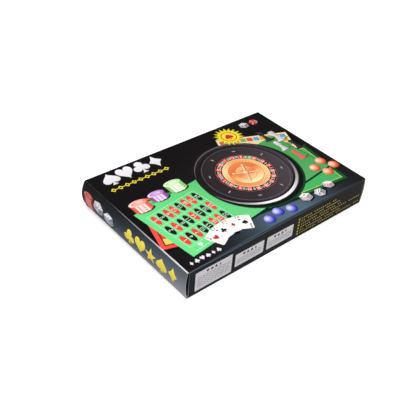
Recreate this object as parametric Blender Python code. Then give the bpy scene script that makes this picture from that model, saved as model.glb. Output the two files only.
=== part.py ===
"""Boxed roulette game: a tuck-end paperboard carton around a formed tray.

The tray holds a roulette wheel with a spinning rotor, its balls and rake, and the chips, cards, dice,
marbles, play money and chessmen of the other games. The mat and the boards lie folded under the tray.
Units are metres, +Z is up, +X runs along the carton and -Y is its front. The origin is the centre of
the carton's underside.
"""

import math

import bmesh
import bpy
from mathutils import Matrix, Vector

# Board, fits and fineness of round shapes
BOARD = 0.0006
REST_GAP = 0.0003
CUT_OVERRUN = 0.004
MERGE_DISTANCE = 0.000001
ROUND_STEPS = 36
SMALL_ROUND_STEPS = 16
TINY_ROUND_STEPS = 12
SMOOTH_ANGLE = math.radians(35)

# Wheel bowl, radii given as the widths of its rings from the rim inwards
RIM_RADIUS = 0.108
RIM_WIDTH = 0.0068
TRACK_WIDTH = 0.0092
APRON_WIDTH = 0.0310
SKIRT_INSET = 0.0090
BOWL_WALL = 0.0020
RIM_HEIGHT = 0.0278
TRACK_HEIGHT = 0.0215
APRON_FOOT_HEIGHT = 0.0142
WELL_FLOOR_HEIGHT = 0.0058
BOSS_RADIUS = 0.0062
BOSS_HEIGHT = 0.0012
POST_RADIUS = 0.0036
POST_CIRCLE_INSET = 0.0220
DEFLECTOR_COUNT = 8
DEFLECTOR_LENGTH = 0.0120
DEFLECTOR_WIDTH = 0.0046
DEFLECTOR_HEIGHT = 0.0014

# Wheel base, feet, screws and spindle
BASE_THICKNESS = 0.0016
FOOT_RADIUS = 0.0060
FOOT_HEIGHT = 0.0008
FOOT_CIRCLE_INSET = 0.0150
SCREW_SHANK_RADIUS = 0.0012
SCREW_HEAD_RADIUS = 0.0026
SCREW_HEAD_HEIGHT = 0.0007
SCREW_LENGTH = 0.0085
SCREW_CLEARANCE = 0.0003
SCREW_COUNT = 3
FOOT_COUNT = 4
PIN_RADIUS = 0.0018
PIN_HEAD_RADIUS = 0.0040
PIN_HEAD_HEIGHT = 0.0009
PIN_CLEARANCE = 0.0003
WASHER_RADIUS = 0.0055
WASHER_THICKNESS = 0.0005

# Rotor, from its rim inwards
ROTOR_CLEARANCE = 0.0008
ROTOR_DISC_THICKNESS = 0.0016
NUMBER_RING_WIDTH = 0.0082
NUMBER_RING_DROP = 0.0010
NUMBER_RING_STEP = 0.0003
POCKET_WIDTH = 0.0088
POCKET_COUNT = 37
POCKET_FLOOR_THICKNESS = 0.0008
FRET_HEIGHT = 0.0024
FRET_THICKNESS = 0.0009
FRET_DRAFT = 0.0004
CONE_RIM_HEIGHT = 0.0036
CONE_HEIGHT = 0.0112
CONE_TOP_RADIUS = 0.0072

# Turret: the stem carries the cross on a shoulder, and the finial holds it down
STEM_HEIGHT = 0.0062
STEM_RADIUS = 0.0060
STEM_SHOULDER_RADIUS = 0.0045
SPIGOT_RADIUS = 0.0018
CROSS_HUB_RADIUS = 0.0048
CROSS_HUB_HEIGHT = 0.0030
ARM_COUNT = 4
ARM_LENGTH = 0.0150
ARM_RADIUS = 0.0011
KNOB_RADIUS = 0.0021
FINIAL_HEIGHT = 0.0041
FINIAL_RADIUS = 0.0030
PIN_REACH_IN_STEM = 0.0030

# Balls, rake and the pieces of the other games
BALL_RADIUS = 0.0040
RAKE_HANDLE_RADIUS = 0.0035
RAKE_HANDLE_LENGTH = 0.1850
RAKE_PLUG_RADIUS = 0.0020
RAKE_PLUG_LENGTH = 0.0080
RAKE_BLADE_LENGTH = 0.0700
RAKE_BLADE_HEIGHT = 0.0120
RAKE_BLADE_THICKNESS = 0.0032
RAKE_SOCKET_HEIGHT = 0.0070
RAKE_SOCKET_RADIUS = 0.0046
CARD_WIDTH = 0.0630
CARD_LENGTH = 0.0880
CARD_CORNER_RADIUS = 0.0035
DECK_THICKNESS = 0.0155
CHIP_RADIUS = 0.0110
CHIP_THICKNESS = 0.0022
CHIPS_PER_STACK = 7
CHIP_COLOURS = ("green", "purple", "red")
CHIP_GROOVE = 0.0006
DIE_SIZE = 0.0110
DIE_BEVEL = 0.0012
DIE_COUNT = 3
MARBLE_RADIUS = 0.0054
MARBLES_PER_COLOUR = 3
BALL_COUNT = 2
MAN_HEIGHT = 0.0260
MAN_BASE_RADIUS = 0.0056
MAN_COLOURS = ("white", "white", "white", "black", "black", "red")
NOTE_LENGTH = 0.0740
NOTE_WIDTH = 0.0400
NOTE_PAD_THICKNESS = 0.0009
NOTE_PAD_FAN = 0.0006
NOTE_PADS = 3
RULES_LENGTH = 0.0900
RULES_WIDTH = 0.0680
RULES_THICKNESS = 0.0004

# Tray, mat and boards
TRAY_WALL = 0.0008
TRAY_DRAFT_SHARE = 0.03
RIM_ABOVE_TRAY = 0.0017
TRAY_EDGE_WIDTH = 0.0058
TRAY_DIVIDER = 0.0040
TRAY_SIDE_GAP = 0.0005
WHEEL_POCKET_PLAY = 0.0025
POCKET_PLAY = 0.0010
POCKET_DEPTH_MARGIN = 0.0012
MAT_LEAF = 0.00055
BOARD_LEAF = 0.0006
LEAF_GAP = 0.0003
MAT_MARGIN = 0.0020

# Carton closures
CREASE_RADIUS = 0.0008
GLUE_LAP_WIDTH = 0.0180
TOP_HEADROOM = 0.0009
TRAY_END_ROOM = 0.0015
FLAP_TO_CLOSURE_GAP = 0.0011
CLOSURE_SIDE_GAP = 0.0005
CLOSURE_BOW_FRONT = 0.0026
CLOSURE_BOW_BACK = 0.0060
SHOULDER_WIDTH = 0.0075
SHOULDER_END_HEIGHT = 0.00035
TONGUE_LENGTH = 0.0156
TONGUE_TRAY_GAP = 0.0004
TONGUE_SIDE_GAP = 0.0010
DUST_FLAP_LENGTH = 0.0420
DUST_FLAP_TOP_GAP = 0.0009
DUST_FLAP_FOOT_GAP = 0.0006
DUST_FLAP_CORNER_RADIUS = 0.0060
DUST_FLAP_TOP_SLOPE_SHARE = 0.46
DUST_FLAP_FOOT_SLOPE_SHARE = 0.10

# Worked out from the sizes above: the wheel
WELL_RADIUS = RIM_RADIUS - RIM_WIDTH - TRACK_WIDTH - APRON_WIDTH
ROTOR_RADIUS = WELL_RADIUS - ROTOR_CLEARANCE
POCKET_OUTER_RADIUS = ROTOR_RADIUS - NUMBER_RING_WIDTH
POCKET_INNER_RADIUS = POCKET_OUTER_RADIUS - POCKET_WIDTH
CONE_RADIUS = POCKET_INNER_RADIUS - REST_GAP
DISC_BOTTOM = WELL_FLOOR_HEIGHT + BOSS_HEIGHT + WASHER_THICKNESS + 2 * REST_GAP
DISC_TOP = DISC_BOTTOM + ROTOR_DISC_THICKNESS
RING_BOTTOM = DISC_TOP + REST_GAP
CONE_TOP = RING_BOTTOM + CONE_HEIGHT
STEM_BOTTOM = CONE_TOP + REST_GAP
CROSS_BOTTOM = STEM_BOTTOM + STEM_HEIGHT + REST_GAP
CROSS_TOP = CROSS_BOTTOM + CROSS_HUB_HEIGHT
FINIAL_BOTTOM = CROSS_TOP + REST_GAP
TURRET_TOP = FINIAL_BOTTOM + FINIAL_HEIGHT

# The stack from the carton's bottom panel up
STACK_FOOT = BOARD + REST_GAP
MAT_THICKNESS = 2 * MAT_LEAF + LEAF_GAP
FOLDED_BOARD_THICKNESS = 2 * BOARD_LEAF + LEAF_GAP
FIRST_BOARD_FOOT = STACK_FOOT + MAT_THICKNESS + REST_GAP
SECOND_BOARD_FOOT = FIRST_BOARD_FOOT + FOLDED_BOARD_THICKNESS + REST_GAP
TRAY_FOOT = SECOND_BOARD_FOOT + FOLDED_BOARD_THICKNESS + REST_GAP
WHEEL_FOOT = TRAY_FOOT + TRAY_WALL + REST_GAP + FOOT_HEIGHT
CHIP_STACK_HEIGHT = CHIPS_PER_STACK * CHIP_THICKNESS
MONEY_HEIGHT = NOTE_PADS * (NOTE_PAD_THICKNESS + REST_GAP)
TALLEST_LOAD = max(
    DECK_THICKNESS,
    CHIP_STACK_HEIGHT,
    MONEY_HEIGHT,
    DIE_SIZE,
    2 * RAKE_SOCKET_RADIUS,
    2 * RAKE_HANDLE_RADIUS,
    2 * MARBLE_RADIUS,
    2 * BALL_RADIUS,
    2 * MAN_BASE_RADIUS,
)
WHEEL_DECK = WHEEL_FOOT + RIM_HEIGHT - RIM_ABOVE_TRAY
TRAY_DECK = max(WHEEL_DECK, TRAY_FOOT + TRAY_WALL + REST_GAP + TALLEST_LOAD + POCKET_DEPTH_MARGIN)
PAPER_TOP = TRAY_DECK + REST_GAP + RULES_THICKNESS
BOX_HEIGHT = max(WHEEL_FOOT + TURRET_TOP, PAPER_TOP) + TOP_HEADROOM + BOARD

# The tray's pockets: the wheel's round one, four in the corners, and a column of them beside the wheel
WHEEL_POCKET_RADIUS = RIM_RADIUS + WHEEL_POCKET_PLAY
WELL_POCKET_RADIUS = CHIP_RADIUS + POCKET_PLAY
CHIP_ROW_LENGTH = len(CHIP_COLOURS) * (2 * WELL_POCKET_RADIUS + TRAY_DIVIDER) - TRAY_DIVIDER
MAN_STEP = 2 * MAN_BASE_RADIUS + REST_GAP
MEN_ROW_LENGTH = len(MAN_COLOURS) * MAN_STEP + 2 * POCKET_PLAY
BLADE_POCKET_LENGTH = RAKE_BLADE_LENGTH + 2 * POCKET_PLAY
CARD_POCKET_WIDTH = CARD_WIDTH + 2 * POCKET_PLAY
NOTE_POCKET_LENGTH = NOTE_LENGTH + 2 * POCKET_PLAY
STACK_COLUMN_WIDTH = max(
    CHIP_ROW_LENGTH,
    MEN_ROW_LENGTH,
    BLADE_POCKET_LENGTH,
    CARD_POCKET_WIDTH,
    NOTE_POCKET_LENGTH,
)
RAKE_SLOT_WIDTH = 2 * (RAKE_HANDLE_RADIUS + POCKET_PLAY)
RAKE_SLOT_LENGTH = RAKE_HANDLE_LENGTH + RAKE_PLUG_LENGTH + 2 * POCKET_PLAY
COLUMN_WIDTH = STACK_COLUMN_WIDTH + 2 * TRAY_DIVIDER + RAKE_SLOT_WIDTH
BLADE_POCKET_DEPTH = RAKE_BLADE_HEIGHT + RAKE_SOCKET_HEIGHT + 2 * POCKET_PLAY
CARD_POCKET_LENGTH = CARD_LENGTH + 2 * POCKET_PLAY
MEN_POCKET_DEPTH = MAN_HEIGHT + 2 * POCKET_PLAY
NOTE_POCKET_WIDTH = NOTE_WIDTH + 2 * POCKET_PLAY
COLUMN_DEPTH = (
    BLADE_POCKET_DEPTH
    + CARD_POCKET_LENGTH
    + 2 * WELL_POCKET_RADIUS
    + MEN_POCKET_DEPTH
    + NOTE_POCKET_WIDTH
    + 4 * TRAY_DIVIDER
)
TRAY_INNER_DEPTH = max(2 * WHEEL_POCKET_RADIUS, COLUMN_DEPTH, RAKE_SLOT_LENGTH)
TRAY_DEPTH = TRAY_INNER_DEPTH + 2 * TRAY_EDGE_WIDTH
TRAY_LENGTH = 2 * WHEEL_POCKET_RADIUS + TRAY_DIVIDER + COLUMN_WIDTH + 2 * TRAY_EDGE_WIDTH
WHEEL_X = -TRAY_LENGTH / 2 + TRAY_EDGE_WIDTH + WHEEL_POCKET_RADIUS
COLUMN_LEFT = WHEEL_X + WHEEL_POCKET_RADIUS + TRAY_DIVIDER

# The carton's outside
SIDE_SETBACK = FLAP_TO_CLOSURE_GAP + BOARD + REST_GAP
BOX_LENGTH = TRAY_LENGTH + 2 * (SIDE_SETBACK + TRAY_END_ROOM)
BOX_DEPTH = TRAY_DEPTH + 2 * (TRAY_SIDE_GAP + 2 * BOARD)
HINGE_OUT = REST_GAP + BOARD / 2
HINGE_HEIGHT = BOX_HEIGHT - BOARD / 2
TONGUE_HINGE_HEIGHT = BOARD + REST_GAP + BOARD / 2
TONGUE_RISE = TRAY_FOOT - TONGUE_TRAY_GAP - BOARD / 2 - TONGUE_HINGE_HEIGHT - REST_GAP
CLOSURE_FOOT = TONGUE_HINGE_HEIGHT + BOARD / 2 + REST_GAP
CLOSURE_WIDTH = BOX_DEPTH - 2 * CLOSURE_SIDE_GAP
FLAP_HINGE_IN = FLAP_TO_CLOSURE_GAP + BOARD / 2
SHEET_LENGTH = BOX_LENGTH - 2 * (TONGUE_LENGTH + MAT_MARGIN)
SHEET_WIDTH = TRAY_DEPTH - 2 * MAT_MARGIN


def make_material(name, colour, roughness, metallic=0.0):
    """A Principled BSDF with the piece's colour, given as linear red, green and blue."""
    material = bpy.data.materials.new(name)
    material.use_nodes = True
    shader = material.node_tree.nodes["Principled BSDF"]
    shader.inputs["Base Color"].default_value = (*colour, 1.0)
    shader.inputs["Roughness"].default_value = roughness
    shader.inputs["Metallic"].default_value = metallic
    return material


def add_object(name, mesh, location=(0, 0, 0), rotation=(0, 0, 0), parent=None):
    """Links a mesh to the scene under its name, placed by location, rotation and parent."""
    piece = bpy.data.objects.new(name, mesh)
    bpy.context.scene.collection.objects.link(piece)
    piece.location = location
    piece.rotation_euler = rotation
    piece.parent = parent
    return piece


def add_piece(name, builder, material, location=(0, 0, 0), rotation=(0, 0, 0), parent=None, smooth=True):
    """Turns a bmesh into a named object of one material, shaded smooth where it is round."""
    bmesh.ops.recalc_face_normals(builder, faces=builder.faces)
    mesh = bpy.data.meshes.new(name)
    builder.to_mesh(mesh)
    builder.free()
    if smooth:
        mesh.shade_smooth()
        mesh.set_sharp_from_angle(angle=SMOOTH_ANGLE)
    mesh.materials.append(material)
    return add_object(name, mesh, location, rotation, parent)


def add_copies(name, builder, material, locations, parent=None):
    """Numbered objects that share one mesh, one for each location."""
    first = add_piece(name + "_1", builder, material, locations[0], parent=parent)
    for number, location in enumerate(locations[1:], 2):
        add_object(f"{name}_{number}", first.data, location, parent=parent)


def add_cutter(name, builder, location=(0, 0, 0), parent=None):
    """A closed shape that only serves other pieces' Booleans."""
    cutter = add_piece(name, builder, CUTTER_MATERIAL, location, parent=parent)
    cutter.hide_render = True
    cutter.display_type = "WIRE"
    return cutter


def boolean(piece, cutter, operation="DIFFERENCE"):
    """A Boolean modifier that stays on the piece."""
    modifier = piece.modifiers.new(cutter.name, "BOOLEAN")
    modifier.object = cutter
    modifier.operation = operation
    modifier.solver = "EXACT"


def solidify(piece, thickness):
    """Gives an open sheet its thickness, half to each side."""
    modifier = piece.modifiers.new("thickness", "SOLIDIFY")
    modifier.thickness = thickness
    modifier.offset = 0


def add_empty(name, location, parent=None):
    """An empty that carries the pieces of one sub-assembly."""
    return add_object(name, None, location, parent=parent)


def lathe(profile, steps):
    """A turned solid from (radius, height) points, a full ring or one that starts and ends on the axis."""
    builder = bmesh.new()
    points = [builder.verts.new((radius, 0, height)) for radius, height in profile]
    on_axis = profile[0][0] == 0 and profile[-1][0] == 0
    ends = points if on_axis else [*points, points[0]]
    edges = [builder.edges.new(pair) for pair in zip(ends, ends[1:])]
    bmesh.ops.spin(
        builder,
        geom=points + edges,
        cent=(0, 0, 0),
        axis=(0, 0, 1),
        angle=2 * math.pi,
        steps=steps,
        use_merge=True,
    )
    bmesh.ops.remove_doubles(builder, verts=builder.verts, dist=MERGE_DISTANCE)
    return builder


def block(size_x, size_y, size_z, centre=(0, 0, 0), builder=None):
    """A box of the three sizes about its centre, added to the builder when one is given."""
    builder = builder or bmesh.new()
    matrix = Matrix.Translation(centre) @ Matrix.Diagonal((size_x, size_y, size_z, 1))
    bmesh.ops.create_cube(builder, size=1, matrix=matrix)
    return builder


def taper(foot_radius, top_radius, bottom, top, steps, centre=(0, 0), builder=None):
    """A round plate, post or cone between two heights, added to the builder when one is given."""
    builder = builder or bmesh.new()
    matrix = Matrix.Translation((centre[0], centre[1], (bottom + top) / 2))
    bmesh.ops.create_cone(
        builder,
        cap_ends=True,
        segments=steps,
        radius1=foot_radius,
        radius2=top_radius,
        depth=top - bottom,
        matrix=matrix,
    )
    return builder


def disc(radius, bottom, top, steps, centre=(0, 0), builder=None):
    """A straight round plate or post between two heights."""
    return taper(radius, radius, bottom, top, steps, centre, builder)


def prism(outline, direction, builder=None):
    """A flat outline of 3D points swept along a direction."""
    builder = builder or bmesh.new()
    face = builder.faces.new([builder.verts.new(point) for point in outline])
    swept = bmesh.ops.extrude_face_region(builder, geom=[face], use_keep_orig=True)
    moved = [item for item in swept["geom"] if isinstance(item, bmesh.types.BMVert)]
    bmesh.ops.translate(builder, verts=moved, vec=direction)
    return builder


def join_builder(target, source, matrix):
    """Adds a builder's shape to another, moved by the matrix."""
    bmesh.ops.transform(source, matrix=matrix, verts=source.verts)
    carrier = bpy.data.meshes.new("carrier")
    source.to_mesh(carrier)
    source.free()
    target.from_mesh(carrier)
    bpy.data.meshes.remove(carrier)


def arc(centre, radius, start, end, steps):
    """Points of a circular arc, angles in degrees."""
    angles = [math.radians(start + (end - start) * i / steps) for i in range(steps + 1)]
    return [(centre[0] + radius * math.cos(a), centre[1] + radius * math.sin(a)) for a in angles]


def rounded_rectangle(size_x, size_y, radius, steps=3):
    """Outline of a rectangle with round corners about the origin, anticlockwise."""
    right, back = size_x / 2 - radius, size_y / 2 - radius
    corners = (((right, back), 0), ((-right, back), 90), ((-right, -back), 180), ((right, -back), 270))
    return [point for centre, start in corners for point in arc(centre, radius, start, start + 90, steps)]


def ring_profile(inner, outer, bottom, top):
    """Section of a flat ring."""
    return [(inner, bottom), (outer, bottom), (outer, top), (inner, top)]


def place_round(count, radius, first_angle=0):
    """Centres of items that stand evenly on a circle."""
    angles = [math.radians(first_angle) + 2 * math.pi * i / count for i in range(count)]
    return [(radius * math.cos(a), radius * math.sin(a)) for a in angles]


# Carton sleeve: one blank, folded round and glued with a lap inside the back wall
def sleeve_section():
    """Outer and inner outlines of the sleeve, as depth and height."""
    outer = rounded_rectangle(BOX_DEPTH, BOX_HEIGHT, CREASE_RADIUS)
    outer = [(y, z + BOX_HEIGHT / 2) for y, z in outer]
    wall, ceiling = BOX_DEPTH / 2 - BOARD, BOX_HEIGHT - BOARD
    lap_foot = ceiling - GLUE_LAP_WIDTH
    inner = [
        (wall - BOARD, ceiling),
        (-wall, ceiling),
        (-wall, BOARD),
        (wall, BOARD),
        (wall, lap_foot),
        (wall - BOARD, lap_foot),
    ]
    return outer, inner


def build_sleeve():
    """The four panels of the carton as a tube, its side walls stopping short of its ends."""
    outer, inner = sleeve_section()
    start = -BOX_LENGTH / 2
    tube = prism([(start, y, z) for y, z in outer], (BOX_LENGTH, 0, 0))
    sleeve = add_piece("carton_sleeve", tube, PRINTED_BOARD, smooth=False)
    hollow = [(start - CUT_OVERRUN, y, z) for y, z in inner]
    boolean(sleeve, add_cutter("sleeve_hollow", prism(hollow, (BOX_LENGTH + 2 * CUT_OVERRUN, 0, 0))))
    setback = bmesh.new()
    size_x, size_y = SIDE_SETBACK + CUT_OVERRUN, 3 * BOARD + CUT_OVERRUN
    height = BOX_HEIGHT - 2 * CREASE_RADIUS - BOARD
    for side in (-1, 1):
        for wall in (-1, 1):
            centre_x = side * (BOX_LENGTH / 2 + CUT_OVERRUN - size_x / 2)
            centre_y = wall * (BOX_DEPTH / 2 + CUT_OVERRUN - size_y / 2)
            block(size_x, size_y, height, (centre_x, centre_y, BOX_HEIGHT / 2), setback)
    boolean(sleeve, add_cutter("side_wall_setback", setback))


# Carton ends: a closure hinged on the top panel, its tongue, and two dust flaps
def closure_bow(y):
    """How far the closure bows out at mid height, more at the back than at the front."""
    share = y / CLOSURE_WIDTH + 0.5
    return CLOSURE_BOW_FRONT + (CLOSURE_BOW_BACK - CLOSURE_BOW_FRONT) * share


def closure_sheet(side):
    """Mid surface of the bowed closure with its straight shoulders, hung from the hinge axis."""
    builder = bmesh.new()
    rows, spans = 8, 6
    inner = CLOSURE_WIDTH / 2 - SHOULDER_WIDTH
    between = [-inner + 2 * inner * i / spans for i in range(spans + 1)]
    drop = HINGE_HEIGHT - CLOSURE_FOOT
    grid = []
    for y in (-CLOSURE_WIDTH / 2, *between, CLOSURE_WIDTH / 2):
        line = []
        for row in range(rows + 1):
            down = row / rows
            out = closure_bow(y) * 4 * down * (1 - down)
            line.append(builder.verts.new((side * out, y, -drop * down)))
        grid.append(line)
    for left, right in zip(grid, grid[1:]):
        for row in range(rows):
            builder.faces.new((left[row], right[row], right[row + 1], left[row + 1]))
    shoulder_drop = HINGE_HEIGHT - SHOULDER_END_HEIGHT
    for left, right in ((grid[0], grid[1]), (grid[-2], grid[-1])):
        feet = [builder.verts.new((0, line[-1].co.y, -shoulder_drop)) for line in (left, right)]
        builder.faces.new((left[-1], right[-1], feet[1], feet[0]))
    return builder


def tongue_sheet(side):
    """Mid surface of the tuck tongue, curling up as it runs into the carton."""
    builder = bmesh.new()
    width = CLOSURE_WIDTH / 2 - SHOULDER_WIDTH - TONGUE_SIDE_GAP
    spans = 4
    length_shares = (0.0, 0.25, 0.5, 0.75, 0.92, 1.0)
    width_shares = (1.0, 0.997, 0.992, 0.982, 0.966, 0.94)
    lines = []
    for length_share, width_share in zip(length_shares, width_shares):
        inward = TONGUE_LENGTH * length_share
        rise = TONGUE_RISE * length_share**2
        half = width * width_share
        places = [-half + 2 * half * i / spans for i in range(spans + 1)]
        lines.append([builder.verts.new((-side * inward, y, rise)) for y in places])
    for near, far in zip(lines, lines[1:]):
        for i in range(spans):
            builder.faces.new((near[i], near[i + 1], far[i + 1], far[i]))
    return builder


def dust_flap_outline():
    """Outline of a dust flap in reach and height, with its tapered edges and round tip."""
    foot = CLOSURE_FOOT + DUST_FLAP_FOOT_GAP
    top = BOX_HEIGHT - BOARD - DUST_FLAP_TOP_GAP
    reach, radius, root = DUST_FLAP_LENGTH, DUST_FLAP_CORNER_RADIUS, BOARD / 2
    foot_slope, top_slope = DUST_FLAP_FOOT_SLOPE_SHARE, DUST_FLAP_TOP_SLOPE_SHARE
    foot_centre = foot + foot_slope * reach + radius * (math.hypot(1, foot_slope) - foot_slope)
    top_centre = top - top_slope * reach - radius * (math.hypot(1, top_slope) - top_slope)
    foot_angle = 270 + math.degrees(math.atan(foot_slope))
    top_angle = 90 - math.degrees(math.atan(top_slope))
    foot_corner = arc((reach - radius, foot_centre), radius, foot_angle, 360, 4)
    top_corner = arc((reach - radius, top_centre), radius, 0, top_angle, 4)
    return [(-root, foot), *foot_corner, *top_corner, (root, top), (-root, top)]


def build_end(name, side):
    """The closure, tongue and dust flaps of one end; side is -1 for the left end and 1 for the right."""
    end_x = side * BOX_LENGTH / 2
    hinge = add_empty(name + "_closure_hinge", (end_x + side * HINGE_OUT, 0, HINGE_HEIGHT))
    closure = add_piece(name + "_end_closure", closure_sheet(side), PRINTED_BOARD, parent=hinge)
    solidify(closure, BOARD)
    crease = add_empty(name + "_tongue_hinge", (0, 0, TONGUE_HINGE_HEIGHT - HINGE_HEIGHT), hinge)
    tongue = add_piece(name + "_tuck_tongue", tongue_sheet(side), PLAIN_BOARD, parent=crease)
    solidify(tongue, BOARD)
    for wall, wall_name in ((-1, "front"), (1, "back")):
        outline = [(-side * BOARD / 2, -wall * reach, z) for reach, z in dust_flap_outline()]
        flap = prism(outline, (side * BOARD, 0, 0))
        location = (end_x - side * FLAP_HINGE_IN, wall * (BOX_DEPTH / 2 - BOARD / 2), 0)
        add_piece(f"{name}_{wall_name}_dust_flap", flap, PLAIN_BOARD, location)


# Formed tray: a thin sheet drawn down into pockets, open underneath
def tray_pockets():
    """Each pocket but the wheel's by name: centre, sizes along X and Y (radius and none if round), depth."""
    margin = POCKET_DEPTH_MARGIN + REST_GAP
    front = -TRAY_INNER_DEPTH / 2
    middle = COLUMN_LEFT + STACK_COLUMN_WIDTH / 2
    pockets = {}
    y = front + BLADE_POCKET_DEPTH / 2
    pockets["blade"] = (middle, y, BLADE_POCKET_LENGTH, BLADE_POCKET_DEPTH, 2 * RAKE_SOCKET_RADIUS + margin)
    y += BLADE_POCKET_DEPTH / 2 + TRAY_DIVIDER + CARD_POCKET_LENGTH / 2
    pockets["cards"] = (middle, y, CARD_POCKET_WIDTH, CARD_POCKET_LENGTH, DECK_THICKNESS + margin)
    y += CARD_POCKET_LENGTH / 2 + TRAY_DIVIDER + WELL_POCKET_RADIUS
    step = 2 * WELL_POCKET_RADIUS + TRAY_DIVIDER
    for i, colour in enumerate(CHIP_COLOURS):
        x = middle + (i - (len(CHIP_COLOURS) - 1) / 2) * step
        pockets[colour + "_chips"] = (x, y, WELL_POCKET_RADIUS, None, CHIP_STACK_HEIGHT + margin)
    y += WELL_POCKET_RADIUS + TRAY_DIVIDER + MEN_POCKET_DEPTH / 2
    pockets["men"] = (middle, y, MEN_ROW_LENGTH, MEN_POCKET_DEPTH, 2 * MAN_BASE_RADIUS + margin)
    y += MEN_POCKET_DEPTH / 2 + TRAY_DIVIDER + NOTE_POCKET_WIDTH / 2
    pockets["money"] = (middle, y, NOTE_POCKET_LENGTH, NOTE_POCKET_WIDTH, MONEY_HEIGHT + margin)
    slot_x = COLUMN_LEFT + STACK_COLUMN_WIDTH + TRAY_DIVIDER + RAKE_SLOT_WIDTH / 2
    slot_depth = 2 * RAKE_HANDLE_RADIUS + margin
    pockets["handle"] = (slot_x, 0, RAKE_SLOT_WIDTH, RAKE_SLOT_LENGTH, slot_depth)
    corners = (
        ("dice", -1, -1, DIE_SIZE),
        ("orange_marbles", -1, 1, 2 * MARBLE_RADIUS),
        ("blue_marbles", 1, -1, 2 * MARBLE_RADIUS),
        ("balls", 1, 1, 2 * BALL_RADIUS),
    )
    for label, across, along, item in corners:
        size = 2 * item + REST_GAP + 2 * POCKET_PLAY
        x = WHEEL_X + across * (WHEEL_POCKET_RADIUS - size / 2)
        corner_y = along * (TRAY_INNER_DEPTH / 2 - size / 2)
        pockets[label] = (x, corner_y, size, size, item + margin)
    return pockets


def pocket_floor(name):
    """Height at which a pocket's contents rest."""
    return TRAY_DECK - tray_pockets()[name][4] + REST_GAP


def drafted_block(size_x, size_y, floor, bottom, top, centre, grow, builder):
    """A pocket's shape: its sizes hold at its floor and widen upwards by the draft, all grown evenly."""
    face = {}
    for z in (bottom, top):
        spread = grow + TRAY_DRAFT_SHARE * (z - floor)
        half_x, half_y = size_x / 2 + spread, size_y / 2 + spread
        ring = ((-half_x, -half_y), (half_x, -half_y), (half_x, half_y), (-half_x, half_y))
        face[z] = [builder.verts.new((centre[0] + x, centre[1] + y, z)) for x, y in ring]
    builder.faces.new(face[bottom][::-1])
    builder.faces.new(face[top])
    for i in range(4):
        j = (i + 1) % 4
        builder.faces.new((face[bottom][i], face[bottom][j], face[top][j], face[top][i]))


def drafted_disc(radius, floor, bottom, top, centre, grow, steps, builder):
    """A round pocket's shape, with the same draft."""
    foot_radius = radius + grow + TRAY_DRAFT_SHARE * (bottom - floor)
    top_radius = radius + grow + TRAY_DRAFT_SHARE * (top - floor)
    taper(foot_radius, top_radius, bottom, top, steps, centre, builder)


def pocket_shapes(name, grow, wheel_bottom):
    """All pockets as one cutter, grown by the tray's wall when it is to shape the underside."""
    builder = bmesh.new()
    top = TRAY_DECK + CUT_OVERRUN
    radius, floor = WHEEL_POCKET_RADIUS, TRAY_FOOT + TRAY_WALL
    drafted_disc(radius, floor, wheel_bottom, top, (WHEEL_X, 0), grow, ROUND_STEPS, builder)
    for x, y, size_x, size_y, depth in tray_pockets().values():
        floor = TRAY_DECK - depth
        if size_y is None:
            drafted_disc(size_x, floor, floor - grow, top, (x, y), grow, SMALL_ROUND_STEPS, builder)
        else:
            drafted_block(size_x, size_y, floor, floor - grow, top, (x, y), grow, builder)
    return add_cutter(name, builder)


def build_tray():
    """The tray's block, less its pockets and less the hollow that its skin leaves underneath."""
    height = TRAY_DECK - TRAY_FOOT
    outside = block(TRAY_LENGTH, TRAY_DEPTH, height, (0, 0, TRAY_FOOT + height / 2))
    tray = add_piece("formed_tray", outside, TRAY_PLASTIC, smooth=False)
    hollow_height = height - TRAY_WALL + CUT_OVERRUN
    hollow_centre = (0, 0, TRAY_DECK - TRAY_WALL - hollow_height / 2)
    inside_length, inside_depth = TRAY_LENGTH - 2 * TRAY_WALL, TRAY_DEPTH - 2 * TRAY_WALL
    hollow = add_cutter("tray_hollow", block(inside_length, inside_depth, hollow_height, hollow_centre))
    boolean(hollow, pocket_shapes("pocket_undersides", TRAY_WALL, TRAY_FOOT - 2 * CUT_OVERRUN))
    boolean(tray, pocket_shapes("pocket_insides", 0, TRAY_FOOT + TRAY_WALL))
    boolean(tray, hollow)


# Sheets folded once, so that two leaves lie on each other
def folded_sheet(leaf):
    """Two leaves joined by a round fold along their left edge."""
    thickness = 2 * leaf + LEAF_GAP
    half, middle = SHEET_LENGTH / 2, thickness / 2
    fold_x = -half + middle
    outer = arc((fold_x, middle), middle, 270, 90, 4)
    inner = arc((fold_x, middle), LEAF_GAP / 2, 90, 270, 4)
    upper = [(half, thickness), (half, middle + LEAF_GAP / 2)]
    lower = [(half, middle - LEAF_GAP / 2), (half, 0)]
    outline = [*outer, *upper, *inner, *lower]
    return prism([(x, -SHEET_WIDTH / 2, z) for x, z in outline], (0, SHEET_WIDTH, 0))


def build_sheets():
    """The betting mat and two folded boards that lie under the tray."""
    add_piece("betting_mat", folded_sheet(MAT_LEAF), GREEN_FELT, (0, 0, STACK_FOOT))
    add_piece("track_game_board", folded_sheet(BOARD_LEAF), CREAM_BOARD, (0, 0, FIRST_BOARD_FOOT))
    add_piece("chess_board", folded_sheet(BOARD_LEAF), GAME_BOARD, (0, 0, SECOND_BOARD_FOOT))


# Roulette wheel, in heights above the edge of its skirt
def apron_height(radius):
    """Height of the sloping apron at a radius, where balls run down to the rotor."""
    share = (radius - WELL_RADIUS) / APRON_WIDTH
    return APRON_FOOT_HEIGHT + (TRACK_HEIGHT - APRON_FOOT_HEIGHT) * share


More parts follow.
